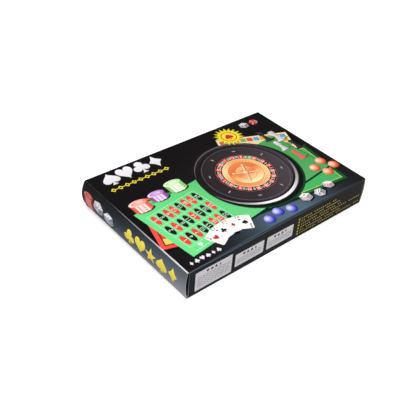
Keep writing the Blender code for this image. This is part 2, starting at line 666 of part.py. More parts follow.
def bowl_profile():
    """Section of the bowl: up the skirt, over the rim, down the track and apron, and back underneath."""
    skirt = RIM_RADIUS - SKIRT_INSET
    flare_shares = ((0.25, 0.20), (0.62, 0.52), (0.92, 0.78))
    side = [(skirt + SKIRT_INSET * out, RIM_HEIGHT * up) for out, up in flare_shares]
    bead = RIM_WIDTH / 2
    rim = arc((RIM_RADIUS - bead, RIM_HEIGHT - bead), bead, 0, 180, 6)
    track_inner = RIM_RADIUS - RIM_WIDTH - TRACK_WIDTH
    track_shares = ((1.0, 0.20), (0.78, 0.0), (0.18, -0.06), (0.0, 0.0))
    track = [(track_inner + TRACK_WIDTH * out, TRACK_HEIGHT + TRACK_WIDTH * up) for out, up in track_shares]
    floor_under = WELL_FLOOR_HEIGHT - BOWL_WALL
    hole = PIN_RADIUS + PIN_CLEARANCE
    boss_top = WELL_FLOOR_HEIGHT + BOSS_HEIGHT
    well_back = WELL_RADIUS + BOWL_WALL
    well = [
        (WELL_RADIUS, APRON_FOOT_HEIGHT),
        (WELL_RADIUS, WELL_FLOOR_HEIGHT),
        (BOSS_RADIUS, WELL_FLOOR_HEIGHT),
        (BOSS_RADIUS, boss_top),
        (hole, boss_top),
        (hole, floor_under),
    ]
    track_under = TRACK_HEIGHT - BOWL_WALL
    underside = [
        (well_back, floor_under),
        (well_back, apron_height(well_back) - BOWL_WALL),
        (track_inner, track_under),
        (track_inner + TRACK_WIDTH, track_under),
    ]
    inside = [(radius - BOWL_WALL, height) for radius, height in side[::-1] if height < track_under]
    return [(skirt, 0), *side, *rim, *track, *well, *underside, *inside, (skirt - BOWL_WALL, 0)]


def screw_places():
    """Centres of the base's screws and of the posts that they bite into."""
    return place_round(SCREW_COUNT, RIM_RADIUS - POST_CIRCLE_INSET)


def screw_holes(name, bottom, top, parent):
    """Straight holes for the screws' shanks."""
    builder = bmesh.new()
    for centre in screw_places():
        disc(SCREW_SHANK_RADIUS + SCREW_CLEARANCE, bottom, top, TINY_ROUND_STEPS, centre, builder)
    return add_cutter(name, builder, parent=parent)


def deflectors():
    """Diamonds on the apron that scatter the ball, each a four-sided pyramid set along the slope."""
    builder = bmesh.new()
    middle = WELL_RADIUS + APRON_WIDTH / 2
    slope = math.atan2(TRACK_HEIGHT - APRON_FOOT_HEIGHT, APRON_WIDTH)
    halves = (DEFLECTOR_LENGTH / 2, DEFLECTOR_WIDTH / 2)
    for i in range(DEFLECTOR_COUNT):
        along, across = halves if i % 2 else halves[::-1]
        ring = [(along, 0), (0, across), (-along, 0), (0, -across)]
        turn = Matrix.Rotation(2 * math.pi * (i + 0.5) / DEFLECTOR_COUNT, 4, "Z")
        seat = Matrix.Translation((middle, 0, apron_height(middle))) @ Matrix.Rotation(-slope, 4, "Y")
        place = turn @ seat
        foot = [builder.verts.new(place @ Vector((x, y, -DEFLECTOR_HEIGHT / 2))) for x, y in ring]
        peak = builder.verts.new(place @ Vector((0, 0, DEFLECTOR_HEIGHT)))
        builder.faces.new(foot[::-1])
        for near, far in zip(foot, foot[1:] + foot[:1]):
            builder.faces.new((near, far, peak))
    return builder


def build_bowl(wheel):
    """The bowl with its deflectors and screw posts, and the base plate with its feet and screws."""
    base_bottom, base_top = 2 * REST_GAP, 2 * REST_GAP + BASE_THICKNESS
    head_top = base_bottom - REST_GAP
    shank_top = head_top + SCREW_LENGTH
    bowl = add_piece("wheel_bowl", lathe(bowl_profile(), ROUND_STEPS), BLACK_PLASTIC, parent=wheel)
    boolean(bowl, add_cutter("ball_deflectors", deflectors(), parent=wheel), "UNION")
    posts = bmesh.new()
    post_top = apron_height(RIM_RADIUS - POST_CIRCLE_INSET) - BOWL_WALL / 2
    for centre in screw_places():
        disc(POST_RADIUS, base_top + REST_GAP, post_top, TINY_ROUND_STEPS, centre, posts)
    boolean(bowl, add_cutter("screw_posts", posts, parent=wheel), "UNION")
    boolean(bowl, screw_holes("post_holes", base_bottom, shank_top + REST_GAP, wheel))
    base_radius = RIM_RADIUS - SKIRT_INSET - BOWL_WALL - REST_GAP
    plate = disc(base_radius, base_bottom, base_top, ROUND_STEPS)
    base = add_piece("wheel_base", plate, BLACK_PLASTIC, parent=wheel)
    boolean(base, screw_holes("base_holes", base_bottom - CUT_OVERRUN, base_top + CUT_OVERRUN, wheel))
    foot_places = place_round(FOOT_COUNT, RIM_RADIUS - SKIRT_INSET - FOOT_CIRCLE_INSET, 45)
    foot = disc(FOOT_RADIUS, -FOOT_HEIGHT, head_top, TINY_ROUND_STEPS)
    add_copies("wheel_foot", foot, RUBBER, [(x, y, 0) for x, y in foot_places], wheel)
    screw_profile = [
        (0, head_top - SCREW_HEAD_HEIGHT),
        (SCREW_HEAD_RADIUS, head_top - SCREW_HEAD_HEIGHT),
        (SCREW_HEAD_RADIUS, head_top),
        (SCREW_SHANK_RADIUS, head_top),
        (SCREW_SHANK_RADIUS, shank_top - SCREW_SHANK_RADIUS),
        (0, shank_top),
    ]
    screw = lathe(screw_profile, TINY_ROUND_STEPS)
    add_copies("base_screw", screw, STEEL, [(x, y, 0) for x, y in screw_places()], wheel)


def build_spindle(wheel):
    """The pin, headed under the bowl's floor, and the washer that the rotor turns on."""
    head_top = WELL_FLOOR_HEIGHT - BOWL_WALL - REST_GAP
    pin_top = STEM_BOTTOM + PIN_REACH_IN_STEM
    pin_profile = [
        (0, head_top - PIN_HEAD_HEIGHT),
        (PIN_HEAD_RADIUS, head_top - PIN_HEAD_HEIGHT),
        (PIN_HEAD_RADIUS, head_top),
        (PIN_RADIUS, head_top),
        (PIN_RADIUS, pin_top - PIN_RADIUS / 2),
        (PIN_RADIUS / 2, pin_top),
        (0, pin_top),
    ]
    add_piece("spindle_pin", lathe(pin_profile, SMALL_ROUND_STEPS), STEEL, parent=wheel)
    bottom = WELL_FLOOR_HEIGHT + BOSS_HEIGHT + REST_GAP
    washer = ring_profile(PIN_RADIUS + PIN_CLEARANCE, WASHER_RADIUS, bottom, bottom + WASHER_THICKNESS)
    add_piece("thrust_washer", lathe(washer, SMALL_ROUND_STEPS), BRASS, parent=wheel)


def pocket_ring():
    """The castellated ring: a low floor for each number and a thin drafted fret between neighbours."""
    builder = bmesh.new()
    floor = RING_BOTTOM + POCKET_FLOOR_THICKNESS
    crest = floor + FRET_HEIGHT
    middle = (POCKET_INNER_RADIUS + POCKET_OUTER_RADIUS) / 2
    crest_turn = FRET_THICKNESS / 2 / middle
    root_turn = crest_turn + FRET_DRAFT / middle
    steps = ((-root_turn, floor), (-crest_turn, crest), (crest_turn, crest), (root_turn, floor))
    sections = []
    for i in range(POCKET_COUNT):
        for offset, top in steps:
            turn = Matrix.Rotation(2 * math.pi * i / POCKET_COUNT + offset, 3, "Z")
            corners = ring_profile(POCKET_INNER_RADIUS, POCKET_OUTER_RADIUS - REST_GAP, RING_BOTTOM, top)
            sections.append([builder.verts.new(turn @ Vector((r, 0, z))) for r, z in corners])
    for section, following in zip(sections, sections[1:] + sections[:1]):
        for i in range(4):
            j = (i + 1) % 4
            builder.faces.new((section[i], section[j], following[j], following[i]))
    return builder


def build_rotor(rotor):
    """The disc, pocket ring, number ring and cone that spin together on the pin."""
    hole = PIN_RADIUS + PIN_CLEARANCE
    plate = lathe(ring_profile(hole, ROTOR_RADIUS, DISC_BOTTOM, DISC_TOP), ROUND_STEPS)
    add_piece("rotor_disc", plate, BLACK_PLASTIC, parent=rotor)
    add_piece("pocket_ring", pocket_ring(), BLACK_PLASTIC, parent=rotor)
    outer_top = APRON_FOOT_HEIGHT - NUMBER_RING_STEP
    number_section = [
        (POCKET_OUTER_RADIUS, RING_BOTTOM),
        (ROTOR_RADIUS, RING_BOTTOM),
        (ROTOR_RADIUS, outer_top),
        (POCKET_OUTER_RADIUS, outer_top - NUMBER_RING_DROP),
    ]
    add_piece("number_ring", lathe(number_section, 2 * POCKET_COUNT), RED_PRINT, parent=rotor)
    rim_top = RING_BOTTOM + CONE_RIM_HEIGHT
    slope_shares = ((1.0, 0.0), (0.90, 0.02), (0.80, 0.10), (0.55, 0.42), (0.30, 0.78))
    slope = [(CONE_RADIUS * out, rim_top + (CONE_TOP - rim_top) * up) for out, up in slope_shares]
    cone_section = [(hole, RING_BOTTOM), (CONE_RADIUS, RING_BOTTOM), *slope]
    cone_section += [(CONE_TOP_RADIUS, CONE_TOP), (hole, CONE_TOP)]
    add_piece("rotor_cone", lathe(cone_section, ROUND_STEPS), GOLD_PLASTIC, parent=rotor)


def turret_cross(rotor):
    """The hub ring with its four knobbed arms, as one casting."""
    middle = (CROSS_BOTTOM + CROSS_TOP) / 2
    hub_section = ring_profile(SPIGOT_RADIUS + REST_GAP, CROSS_HUB_RADIUS, CROSS_BOTTOM, CROSS_TOP)
    cross = add_piece("turret_cross", lathe(hub_section, SMALL_ROUND_STEPS), GOLD_PLASTIC, parent=rotor)
    start = (SPIGOT_RADIUS + REST_GAP + CROSS_HUB_RADIUS) / 2
    knob = start + ARM_LENGTH - KNOB_RADIUS
    knob_shares = ((0.80, -0.60), (1.0, 0.0), (0.80, 0.60))
    arm_profile = [(0, start), (ARM_RADIUS, start), (ARM_RADIUS, knob - KNOB_RADIUS)]
    arm_profile += [(KNOB_RADIUS * out, knob + KNOB_RADIUS * along) for out, along in knob_shares]
    arm_profile.append((0, knob + KNOB_RADIUS))
    arms = bmesh.new()
    for i in range(ARM_COUNT):
        turn = Matrix.Rotation(2 * math.pi * i / ARM_COUNT, 4, "Z") @ Matrix.Rotation(math.pi / 2, 4, "Y")
        join_builder(arms, lathe(arm_profile, TINY_ROUND_STEPS), Matrix.Translation((0, 0, middle)) @ turn)
    boolean(cross, add_cutter("cross_arms", arms, parent=rotor), "UNION")


def build_turret(rotor):
    """The stem over the pin, the cross on its shoulder and the finial that holds it down."""
    hole = PIN_RADIUS + PIN_CLEARANCE
    hole_top = STEM_BOTTOM + PIN_REACH_IN_STEM + REST_GAP
    waist_shares = ((0.93, 0.15), (0.60, 0.45), (0.62, 0.70))
    waist = [(STEM_RADIUS * out, STEM_BOTTOM + STEM_HEIGHT * up) for out, up in waist_shares]
    shoulder = STEM_BOTTOM + STEM_HEIGHT
    stem_section = [(0, hole_top), (hole, hole_top), (hole, STEM_BOTTOM), (STEM_RADIUS, STEM_BOTTOM), *waist]
    stem_section += [(STEM_SHOULDER_RADIUS, shoulder), (SPIGOT_RADIUS, shoulder)]
    stem_section += [(SPIGOT_RADIUS, CROSS_TOP), (0, CROSS_TOP)]
    add_piece("turret_stem", lathe(stem_section, SMALL_ROUND_STEPS), GOLD_PLASTIC, parent=rotor)
    turret_cross(rotor)
    finial_shares = ((0.90, 0.0), (0.55, 0.20), (1.0, 0.50), (0.75, 0.78))
    finial = [(FINIAL_RADIUS * out, FINIAL_BOTTOM + FINIAL_HEIGHT * up) for out, up in finial_shares]
    finial_profile = [(0, FINIAL_BOTTOM), *finial, (0, TURRET_TOP)]
    add_piece("turret_finial", lathe(finial_profile, SMALL_ROUND_STEPS), GOLD_PLASTIC, parent=rotor)


# What lies in the tray's pockets
def build_rake_handle():
    """The rake's handle with the plug at its front end, lying in the long slot."""
    x, y, _, _, _ = tray_pockets()["handle"]
    z = pocket_floor("handle") + RAKE_HANDLE_RADIUS
    start = -(RAKE_HANDLE_LENGTH + RAKE_PLUG_LENGTH) / 2
    joint = start + RAKE_PLUG_LENGTH
    end = joint + RAKE_HANDLE_LENGTH
    grip = [
        (RAKE_HANDLE_RADIUS, joint),
        (RAKE_HANDLE_RADIUS, end - 4 * RAKE_HANDLE_RADIUS),
        (RAKE_PLUG_RADIUS, end - 3 * RAKE_HANDLE_RADIUS),
        (RAKE_HANDLE_RADIUS, end - 2 * RAKE_HANDLE_RADIUS),
        (RAKE_HANDLE_RADIUS, end - RAKE_HANDLE_RADIUS / 2),
        (RAKE_PLUG_RADIUS, end),
    ]
    profile = [(0, start), (RAKE_PLUG_RADIUS, start), (RAKE_PLUG_RADIUS, joint), *grip, (0, end)]
    handle = lathe(profile, TINY_ROUND_STEPS)
    add_piece("rake_handle", handle, BLACK_PLASTIC, (x, y, z), (-math.pi / 2, 0, 0))


def build_rake_blade():
    """The rake's waved blade with the socket for the handle's plug."""
    x, y, _, _, _ = tray_pockets()["blade"]
    place = (x, y, pocket_floor("blade") + RAKE_SOCKET_RADIUS)
    front = -(RAKE_BLADE_HEIGHT + RAKE_SOCKET_HEIGHT) / 2
    back = front + RAKE_BLADE_HEIGHT + RAKE_SOCKET_HEIGHT
    wave_shares = ((-1.0, 0.0), (-0.55, 0.10), (0.0, 0.22), (0.55, 0.10), (1.0, 0.0))
    top_shares = ((1.0, 0.45), (0.70, 0.62), (0.35, 0.92), (-0.35, 0.92), (-0.70, 0.62), (-1.0, 0.45))
    half = RAKE_BLADE_LENGTH / 2
    outline = [(half * along, front + RAKE_BLADE_HEIGHT * up) for along, up in (*wave_shares, *top_shares)]
    plate = prism([(px, py, -RAKE_BLADE_THICKNESS / 2) for px, py in outline], (0, 0, RAKE_BLADE_THICKNESS))
    blade = add_piece("rake_blade", plate, BLACK_PLASTIC, place)
    along_back = Matrix.Rotation(-math.pi / 2, 4, "X")
    socket = bmesh.new()
    length = RAKE_SOCKET_HEIGHT + RAKE_BLADE_HEIGHT / 2
    whole = disc(RAKE_SOCKET_RADIUS, 0, length, TINY_ROUND_STEPS)
    join_builder(socket, whole, Matrix.Translation((0, back - length, 0)) @ along_back)
    bore = bmesh.new()
    drilled = disc(RAKE_PLUG_RADIUS + REST_GAP, 0, RAKE_PLUG_LENGTH + CUT_OVERRUN, TINY_ROUND_STEPS)
    join_builder(bore, drilled, Matrix.Translation((0, back - RAKE_PLUG_LENGTH, 0)) @ along_back)
    boolean(blade, add_cutter("blade_socket", socket, place), "UNION")
    boolean(blade, add_cutter("blade_socket_bore", bore, place))


def build_paper():
    """The deck of cards, the pads of play money and the rules sheet on the tray's deck."""
    x, y, _, _, _ = tray_pockets()["cards"]
    outline = rounded_rectangle(CARD_WIDTH, CARD_LENGTH, CARD_CORNER_RADIUS)
    deck = prism([(px, py, 0) for px, py in outline], (0, 0, DECK_THICKNESS))
    add_piece("playing_cards", deck, CARD_STOCK, (x, y, pocket_floor("cards")))
    rules = block(RULES_LENGTH, RULES_WIDTH, RULES_THICKNESS, (0, 0, RULES_THICKNESS / 2))
    add_piece("rules_sheet", rules, CARD_STOCK, (COLUMN_LEFT + COLUMN_WIDTH / 2, y, TRAY_DECK + REST_GAP))
    x, y, _, _, _ = tray_pockets()["money"]
    pad = block(NOTE_LENGTH, NOTE_WIDTH, NOTE_PAD_THICKNESS, (0, 0, NOTE_PAD_THICKNESS / 2))
    places = []
    for i in range(NOTE_PADS):
        shift = (i - (NOTE_PADS - 1) / 2) * NOTE_PAD_FAN
        places.append((x + shift, y - shift, pocket_floor("money") + i * (NOTE_PAD_THICKNESS + REST_GAP)))
    add_copies("play_money_pad", pad, CARD_STOCK, places)


def chip_stack():
    """A shrink-wrapped stack of chips, a groove between each two."""
    profile = [(0, 0), (CHIP_RADIUS - CHIP_GROOVE, 0)]
    for i in range(CHIPS_PER_STACK):
        bottom = i * CHIP_THICKNESS
        top = bottom + CHIP_THICKNESS
        profile += [(CHIP_RADIUS, bottom + CHIP_GROOVE / 2), (CHIP_RADIUS, top - CHIP_GROOVE / 2)]
        profile.append((CHIP_RADIUS - CHIP_GROOVE, top))
    return lathe([*profile, (0, CHIP_STACK_HEIGHT)], SMALL_ROUND_STEPS)


def build_chips():
    """One stack of chips for each colour."""
    for colour in CHIP_COLOURS:
        x, y, _, _, _ = tray_pockets()[colour + "_chips"]
        place = (x, y, pocket_floor(colour + "_chips"))
        add_piece(colour + "_chip_stack", chip_stack(), PLASTICS[colour], place)


def corner_places(pocket, size, count):
    """Places for up to four items in a square pocket, two by two."""
    x, y, _, _, _ = tray_pockets()[pocket]
    step = (size + REST_GAP) / 2
    offsets = [(-step, -step), (step, -step), (-step, step), (step, step)][:count]
    return [(x + dx, y + dy, pocket_floor(pocket) + size / 2) for dx, dy in offsets]


def build_small_pieces():
    """The dice, marbles and roulette balls in the tray's corners."""
    die = block(DIE_SIZE, DIE_SIZE, DIE_SIZE)
    bmesh.ops.bevel(die, geom=die.edges[:], offset=DIE_BEVEL, segments=2, profile=0.5, affect="EDGES")
    add_copies("die", die, PLASTICS["white"], corner_places("dice", DIE_SIZE, DIE_COUNT))
    groups = (
        ("orange_marble", "orange_marbles", MARBLE_RADIUS, MARBLES_PER_COLOUR, "orange"),
        ("blue_marble", "blue_marbles", MARBLE_RADIUS, MARBLES_PER_COLOUR, "blue"),
        ("roulette_ball", "balls", BALL_RADIUS, BALL_COUNT, "white"),
    )
    for name, pocket, radius, count, colour in groups:
        ball = bmesh.new()
        bmesh.ops.create_uvsphere(ball, u_segments=TINY_ROUND_STEPS, v_segments=8, radius=radius)
        add_copies(name, ball, PLASTICS[colour], corner_places(pocket, 2 * radius, count))


def pawn():
    """A turned pawn with a foot, collar and round head, standing on the origin."""
    foot_shares = ((0.0, 0.0), (1.0, 0.0), (1.0, 0.10), (0.62, 0.20), (0.40, 0.45), (0.36, 0.60))
    head_shares = ((0.66, 0.64), (0.42, 0.69), (0.62, 0.80), (0.50, 0.94), (0.0, 1.0))
    profile = [(MAN_BASE_RADIUS * out, MAN_HEIGHT * up) for out, up in (*foot_shares, *head_shares)]
    return lathe(profile, TINY_ROUND_STEPS)


def build_pawns():
    """Pawns lying side by side, heads to the front and back in turn."""
    x, y, _, _, _ = tray_pockets()["men"]
    z = pocket_floor("men") + MAN_BASE_RADIUS
    for slot, colour in enumerate(MAN_COLOURS):
        heading = -1 if slot % 2 else 1
        number = MAN_COLOURS[: slot + 1].count(colour)
        place_x = x + (slot - (len(MAN_COLOURS) - 1) / 2) * MAN_STEP
        location = (place_x, y - heading * MAN_HEIGHT / 2, z)
        lying = (-heading * math.pi / 2, 0, 0)
        add_piece(f"{colour}_pawn_{number}", pawn(), PLASTICS[colour], location, lying)


for old in list(bpy.data.objects):
    bpy.data.objects.remove(old)

# Finishes, as linear colours
PRINTED_BOARD = make_material("printed_board", (0.018, 0.016, 0.020), 0.32)
PLAIN_BOARD = make_material("plain_board", (0.62, 0.60, 0.56), 0.75)
TRAY_PLASTIC = make_material("tray_plastic", (0.72, 0.72, 0.70), 0.35)
BLACK_PLASTIC = make_material("black_plastic", (0.012, 0.010, 0.012), 0.25)
GOLD_PLASTIC = make_material("gold_plastic", (0.83, 0.45, 0.12), 0.28, 1.0)
RED_PRINT = make_material("red_print", (0.62, 0.03, 0.03), 0.40)
GREEN_FELT = make_material("green_felt", (0.06, 0.45, 0.14), 0.90)
CREAM_BOARD = make_material("cream_board", (0.86, 0.76, 0.45), 0.60)
GAME_BOARD = make_material("game_board", (0.75, 0.10, 0.05), 0.60)
CARD_STOCK = make_material("card_stock", (0.85, 0.84, 0.80), 0.50)
STEEL = make_material("steel", (0.60, 0.60, 0.62), 0.25, 1.0)
BRASS = make_material("brass", (0.75, 0.52, 0.20), 0.30, 1.0)
RUBBER = make_material("rubber", (0.03, 0.03, 0.03), 0.80)
CUTTER_MATERIAL = make_material("cutter", (0.5, 0.5, 0.5), 0.5)
PLASTICS = {
    "white": make_material("white_plastic", (0.88, 0.87, 0.84), 0.25),
    "black": BLACK_PLASTIC,
    "red": make_material("red_plastic", (0.75, 0.10, 0.06), 0.30),
    "green": make_material("green_plastic", (0.25, 0.62, 0.18), 0.30),
    "purple": make_material("purple_plastic", (0.25, 0.08, 0.42), 0.30),
    "orange": make_material("orange_plastic", (0.80, 0.20, 0.08), 0.15),
    "blue": make_material("blue_plastic", (0.10, 0.12, 0.70), 0.15),
}

build_sleeve()
build_end("left", -1)
build_end("right", 1)
build_sheets()
build_tray()
wheel_frame = add_empty("wheel", (WHEEL_X, 0, WHEEL_FOOT))
rotor_frame = add_empty("rotor_axis", (0, 0, 0), wheel_frame)
build_bowl(wheel_frame)
build_spindle(wheel_frame)
build_rotor(rotor_frame)
build_turret(rotor_frame)
build_rake_handle()
build_rake_blade()
build_paper()
build_chips()
build_small_pieces()
build_pawns()
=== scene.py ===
"""Looks of a boxed roulette game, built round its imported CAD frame.

The carton is printed folding boxboard with a tuck end at each side. Inside it are the wheel,
its games and the formed tray that holds them. Lengths are metres in the part's own frame, and
millimetres where a sheet's print is laid out flat.
"""

from __future__ import annotations

import logging
from collections.abc import Callable, Iterable, Sequence
from dataclasses import dataclass, field, replace
from enum import Enum
from functools import partial
from math import atan, atan2, ceil, cos, degrees, dist, hypot, pi, radians, sin, tau

import bmesh
import bpy
from mathutils import Matrix, Vector
from mathutils.geometry import delaunay_2d_cdt

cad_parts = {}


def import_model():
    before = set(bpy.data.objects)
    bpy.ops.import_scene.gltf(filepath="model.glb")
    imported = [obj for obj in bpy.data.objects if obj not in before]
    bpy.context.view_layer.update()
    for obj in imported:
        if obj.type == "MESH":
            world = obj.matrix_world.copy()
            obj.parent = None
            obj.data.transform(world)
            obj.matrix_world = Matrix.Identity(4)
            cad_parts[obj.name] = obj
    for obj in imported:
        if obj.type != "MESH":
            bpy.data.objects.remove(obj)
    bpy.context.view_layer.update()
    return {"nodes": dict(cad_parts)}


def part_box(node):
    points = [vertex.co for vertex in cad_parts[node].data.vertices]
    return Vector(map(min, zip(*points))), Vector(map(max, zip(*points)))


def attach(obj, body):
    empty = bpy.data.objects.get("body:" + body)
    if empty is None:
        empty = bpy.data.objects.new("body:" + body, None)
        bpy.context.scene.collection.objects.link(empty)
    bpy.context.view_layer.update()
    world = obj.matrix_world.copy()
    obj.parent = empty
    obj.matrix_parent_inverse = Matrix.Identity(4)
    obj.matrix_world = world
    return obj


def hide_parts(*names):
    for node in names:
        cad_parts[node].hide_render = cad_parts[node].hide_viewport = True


Tree = bpy.types.NodeTree
Socket = bpy.types.NodeSocket
Thing = bpy.types.Object
Point = tuple[float, float]
Points = tuple[Point, ...]
Trio = tuple[float, float, float]
Place = Callable[[float, float, float], Vector]
Finishes = tuple["Finish", "Finish", "Finish"]
Draw = Callable[["Artwork"], None]
MM = 0.001
RIGHT, LEFT, BACK, FRONT, UP, DOWN = (1, 0, 0), (-1, 0, 0), (0, 1, 0), (0, -1, 0), (0, 0, 1), (0, 0, -1)
SHARP = radians(35)
LOG = logging.getLogger("boxed_roulette")


def linear(code: str) -> Trio:
    """Turns a colour from sRGB hex, as #rrggbb, to linear red, green and blue from 0 to 1."""
    channels = [int(code[i : i + 2], 16) / 255 for i in (1, 3, 5)]
    return tuple(c / 12.92 if c <= 0.04045 else ((c + 0.055) / 1.055) ** 2.4 for c in channels)


def add_node(
    tree: Tree, kind: str, inputs: dict | None = None, output: int | str = 0, **settings: str
) -> Socket | None:
    """Adds a node with its settings and links.

    Args:
        tree: The node tree.
        kind: The node's type name, less its leading ShaderNode.
        inputs: Values or linked outputs by socket name or number.
        output: Name or number of the output that is wanted.
        settings: Values of the node's own properties.

    Returns:
        The output, if the node has any.
    """
    node = tree.nodes.new("ShaderNode" + kind)
    for name, value in settings.items():
        setattr(node, name, value)
    for key, value in (inputs or {}).items():
        if isinstance(value, Socket):
            tree.links.new(value, node.inputs[key])
        else:
            node.inputs[key].default_value = value
    return node.outputs[output] if node.outputs else None


# Finishes


@dataclass(frozen=True)
class Grain:
    """An uneven tone or relief whose features have a real size in millimetres."""

    period: float
    detail: float = 3.0
    jagged: float = 0.5
    stretch: Trio = (1.0, 1.0, 1.0)
    cells: bool = False

    def spread(self, tree: Tree, where: Socket, ends: Point, span: Point) -> Socket:
        """Draws the grain between two values.

        Args:
            tree: The material's node tree.
            where: The place on the piece.
            ends: Values at the span's ends.
            span: Part of the grain's range that is spread between them.

        Returns:
            The value.
        """
        drawn = add_node(tree, "Mapping", {"Vector": where, "Scale": self.stretch})
        size = {"Scale": 1 / (self.period * MM), "Detail": self.detail, "Roughness": self.jagged}
        raw = add_node(tree, "TexVoronoi" if self.cells else "TexNoise", {"Vector": drawn, **size})
        ranges = {"From Min": span[0], "From Max": span[1], "To Min": ends[0], "To Max": ends[1]}
        return add_node(tree, "MapRange", {"Value": raw, **ranges})


# Handling rubs a printed sheet in patches of a few centimetres, and glue swells it in longer waves.
SCUFFS = Grain(26.0, 8.0, 0.72)
SWELL = Grain(60.0, 1.0)


@dataclass(frozen=True)
class Finish:
    """A real material and how it was worked, as uneven colour, gloss and relief.

    With no colours of its own it takes the ink that is printed on its sheet.
    """

    name: str
    tone: Grain
    relief: Grain
    colours: tuple[str, str] | None = None
    span: Point = (0.35, 0.70)
    density: Point = (0.94, 1.05)
    roughness: Point = (0.30, 0.40)
    depth: float = 0.05
    bump: float = 0.3
    scuffs: float = 0.0
    swell: float = 0.0
    sockets: tuple[tuple[str, float], ...] = ()

    def material(self) -> bpy.types.Material:
        """Gives the finish's material, made on first use.

        Returns:
            The material.
        """
        known = bpy.data.materials.get(self.name)
        if known:
            return known
        made = bpy.data.materials.new(self.name)
        made.use_nodes = True
        tree = made.node_tree
        tree.nodes.clear()
        where = add_node(tree, "TexCoord", output="Object")
        add_node(tree, "OutputMaterial", {"Surface": self.shade(tree, where)})
        return made

    def shade(self, tree: Tree, where: Socket) -> Socket:
        """Builds the shader.

        Args:
            tree: The material's node tree.
            where: The place on the piece.

        Returns:
            The shader's output.
        """
        over = []
        if self.colours:
            colour = (*linear(self.colours[0]), 1)
            over.append((self.tone.spread(tree, where, (0, 1), self.span), self.colours[1]))
        else:
            ink = add_node(tree, "Attribute", attribute_name="ink")
            density = self.tone.spread(tree, where, self.density, (0, 1))
            colour = add_node(tree, "VectorMath", {0: ink, "Scale": density}, operation="SCALE")
        if self.scuffs:
            over.append((SCUFFS.spread(tree, where, (0, self.scuffs), (0.70, 0.78)), "#b7b3ae"))
        for share, code in over:
            # A colour mix has its factor and two colours on sockets 0, 6 and 7, and its result on 2.
            colour = add_node(tree, "Mix", {0: share, 6: colour, 7: (*linear(code), 1)}, 2, data_type="RGBA")
        height = self.relief.spread(tree, where, (0, 1), (0, 1))
        inputs = {"Strength": self.bump, "Distance": self.depth * MM, "Height": height}
        normal = add_node(tree, "Bump", inputs)
        if self.swell:
            wave = SWELL.spread(tree, where, (0, 1), (0, 1))
            inputs = {"Strength": 0.5, "Distance": self.swell * MM, "Height": wave, "Normal": normal}
            normal = add_node(tree, "Bump", inputs)
        roughness = self.tone.spread(tree, where, self.roughness, self.span)
        inputs = {"Base Color": colour, "Roughness": roughness, "Normal": normal, **dict(self.sockets)}
        return add_node(tree, "BsdfPrincipled", inputs)


@dataclass(frozen=True)
class StudioPaper(Finish):
    """The seamless paper that the carton stands on, lifted to white where it is looked at."""

    lift: float = 0.35
    near: float = 0.3
    far: float = 1.0

    def shade(self, tree: Tree, where: Socket) -> Socket:
        """Mixes a matt white that keeps the carton's shadow and runs out to pure white round it.

        Args:
            tree: The material's node tree.
            where: The place on the paper.

        Returns:
            The shader's output.
        """
        matt = add_node(tree, "BsdfDiffuse", {"Color": (*linear("#f2f2f2"), 1)})
        rays = add_node(tree, "LightPath").node.outputs
        away = add_node(tree, "VectorMath", {0: where}, "Value", operation="LENGTH")
        ranges = {"From Min": self.near, "From Max": self.far, "To Min": self.lift, "To Max": 1.0}
        strength = add_node(tree, "MapRange", {"Value": away, **ranges})
        seen = rays["Is Camera Ray"]
        for ray in ("Is Glossy Ray", "Is Transmission Ray"):
            seen = add_node(tree, "Math", {0: seen, 1: rays[ray]}, operation="MAXIMUM")
        strength = add_node(tree, "Math", {0: seen, 1: strength}, operation="MULTIPLY")
        white = add_node(tree, "Emission", {"Color": (*linear("#ffffff"), 1), "Strength": strength})
        return add_node(tree, "AddShader", {0: matt, 1: white})


# Flat saturated inks under one soft skin of gloss. The coating's orange peel is drawn at 0.9 mm, coarser
# than the real fibre of 0.05 mm, so that it shows, and the glued panels swell by some 0.5 mm.
GLOSS_PRINT = Finish(
    "white-lined chipboard, offset printed, gloss coated", Grain(1.6), Grain(0.9, 2.0), span=(0.0, 1.0),
    roughness=(0.32, 0.44), depth=0.04, bump=0.1, scuffs=0.14, swell=0.5,
    sockets=(("IOR", 1.48), ("Specular IOR Level", 0.03)),
)
# The coating cracks where the board is creased, so its gloss is gone there.
CREASED_PRINT = replace(
    GLOSS_PRINT, name="white-lined chipboard, offset printed and creased", roughness=(0.60, 0.75), bump=0.3,
    swell=0.0, sockets=(("Specular IOR Level", 0.0),),
)
# A finer, drier ink film on uncoated paper.
MATT_PRINT = Finish(
    "linen-finish paper, offset printed", Grain(1.2), Grain(0.6, 2.0), span=(0.0, 1.0),
    roughness=(0.45, 0.60), bump=0.2, scuffs=0.12, sockets=(("Specular IOR Level", 0.35),),
)
# Smooth varnished ink with hardly any grain.
CARD_FACE = Finish(
    "playing-card stock, varnished", Grain(1.0), Grain(0.8, 1.0), span=(0.0, 1.0), density=(0.97, 1.03),
    roughness=(0.28, 0.38), depth=0.03, bump=0.15, sockets=(("Specular IOR Level", 0.45),),
)
# A dense tangle with no weave: fibres of 0.02 mm are drawn as clumps of 0.6 mm, under a pale bloom.
FELT = Finish(
    "polyester felt, needle punched and screen printed", Grain(0.6, 8.0, 0.8), Grain(0.6, 8.0, 0.8),
    span=(0.0, 1.0), density=(0.62, 1.40), roughness=(0.90, 1.0), depth=0.15, bump=0.8,
    sockets=(("Specular IOR Level", 0.15), ("Sheen Weight", 0.35), ("Sheen Roughness", 0.45)),
)
# A dull warm grey full of short fibres that lie along the machine's run.
GREY_BACK = Finish(
    "recycled chipboard back, uncoated", Grain(0.5, 6.0, 0.7, (0.35, 1.0, 1.0)),
    Grain(0.5, 6.0, 0.7, (0.35, 1.0, 1.0)), ("#a49c90", "#c4beb2"), (0.35, 0.68), roughness=(0.82, 0.92),
    sockets=(("Specular IOR Level", 0.25),),
)
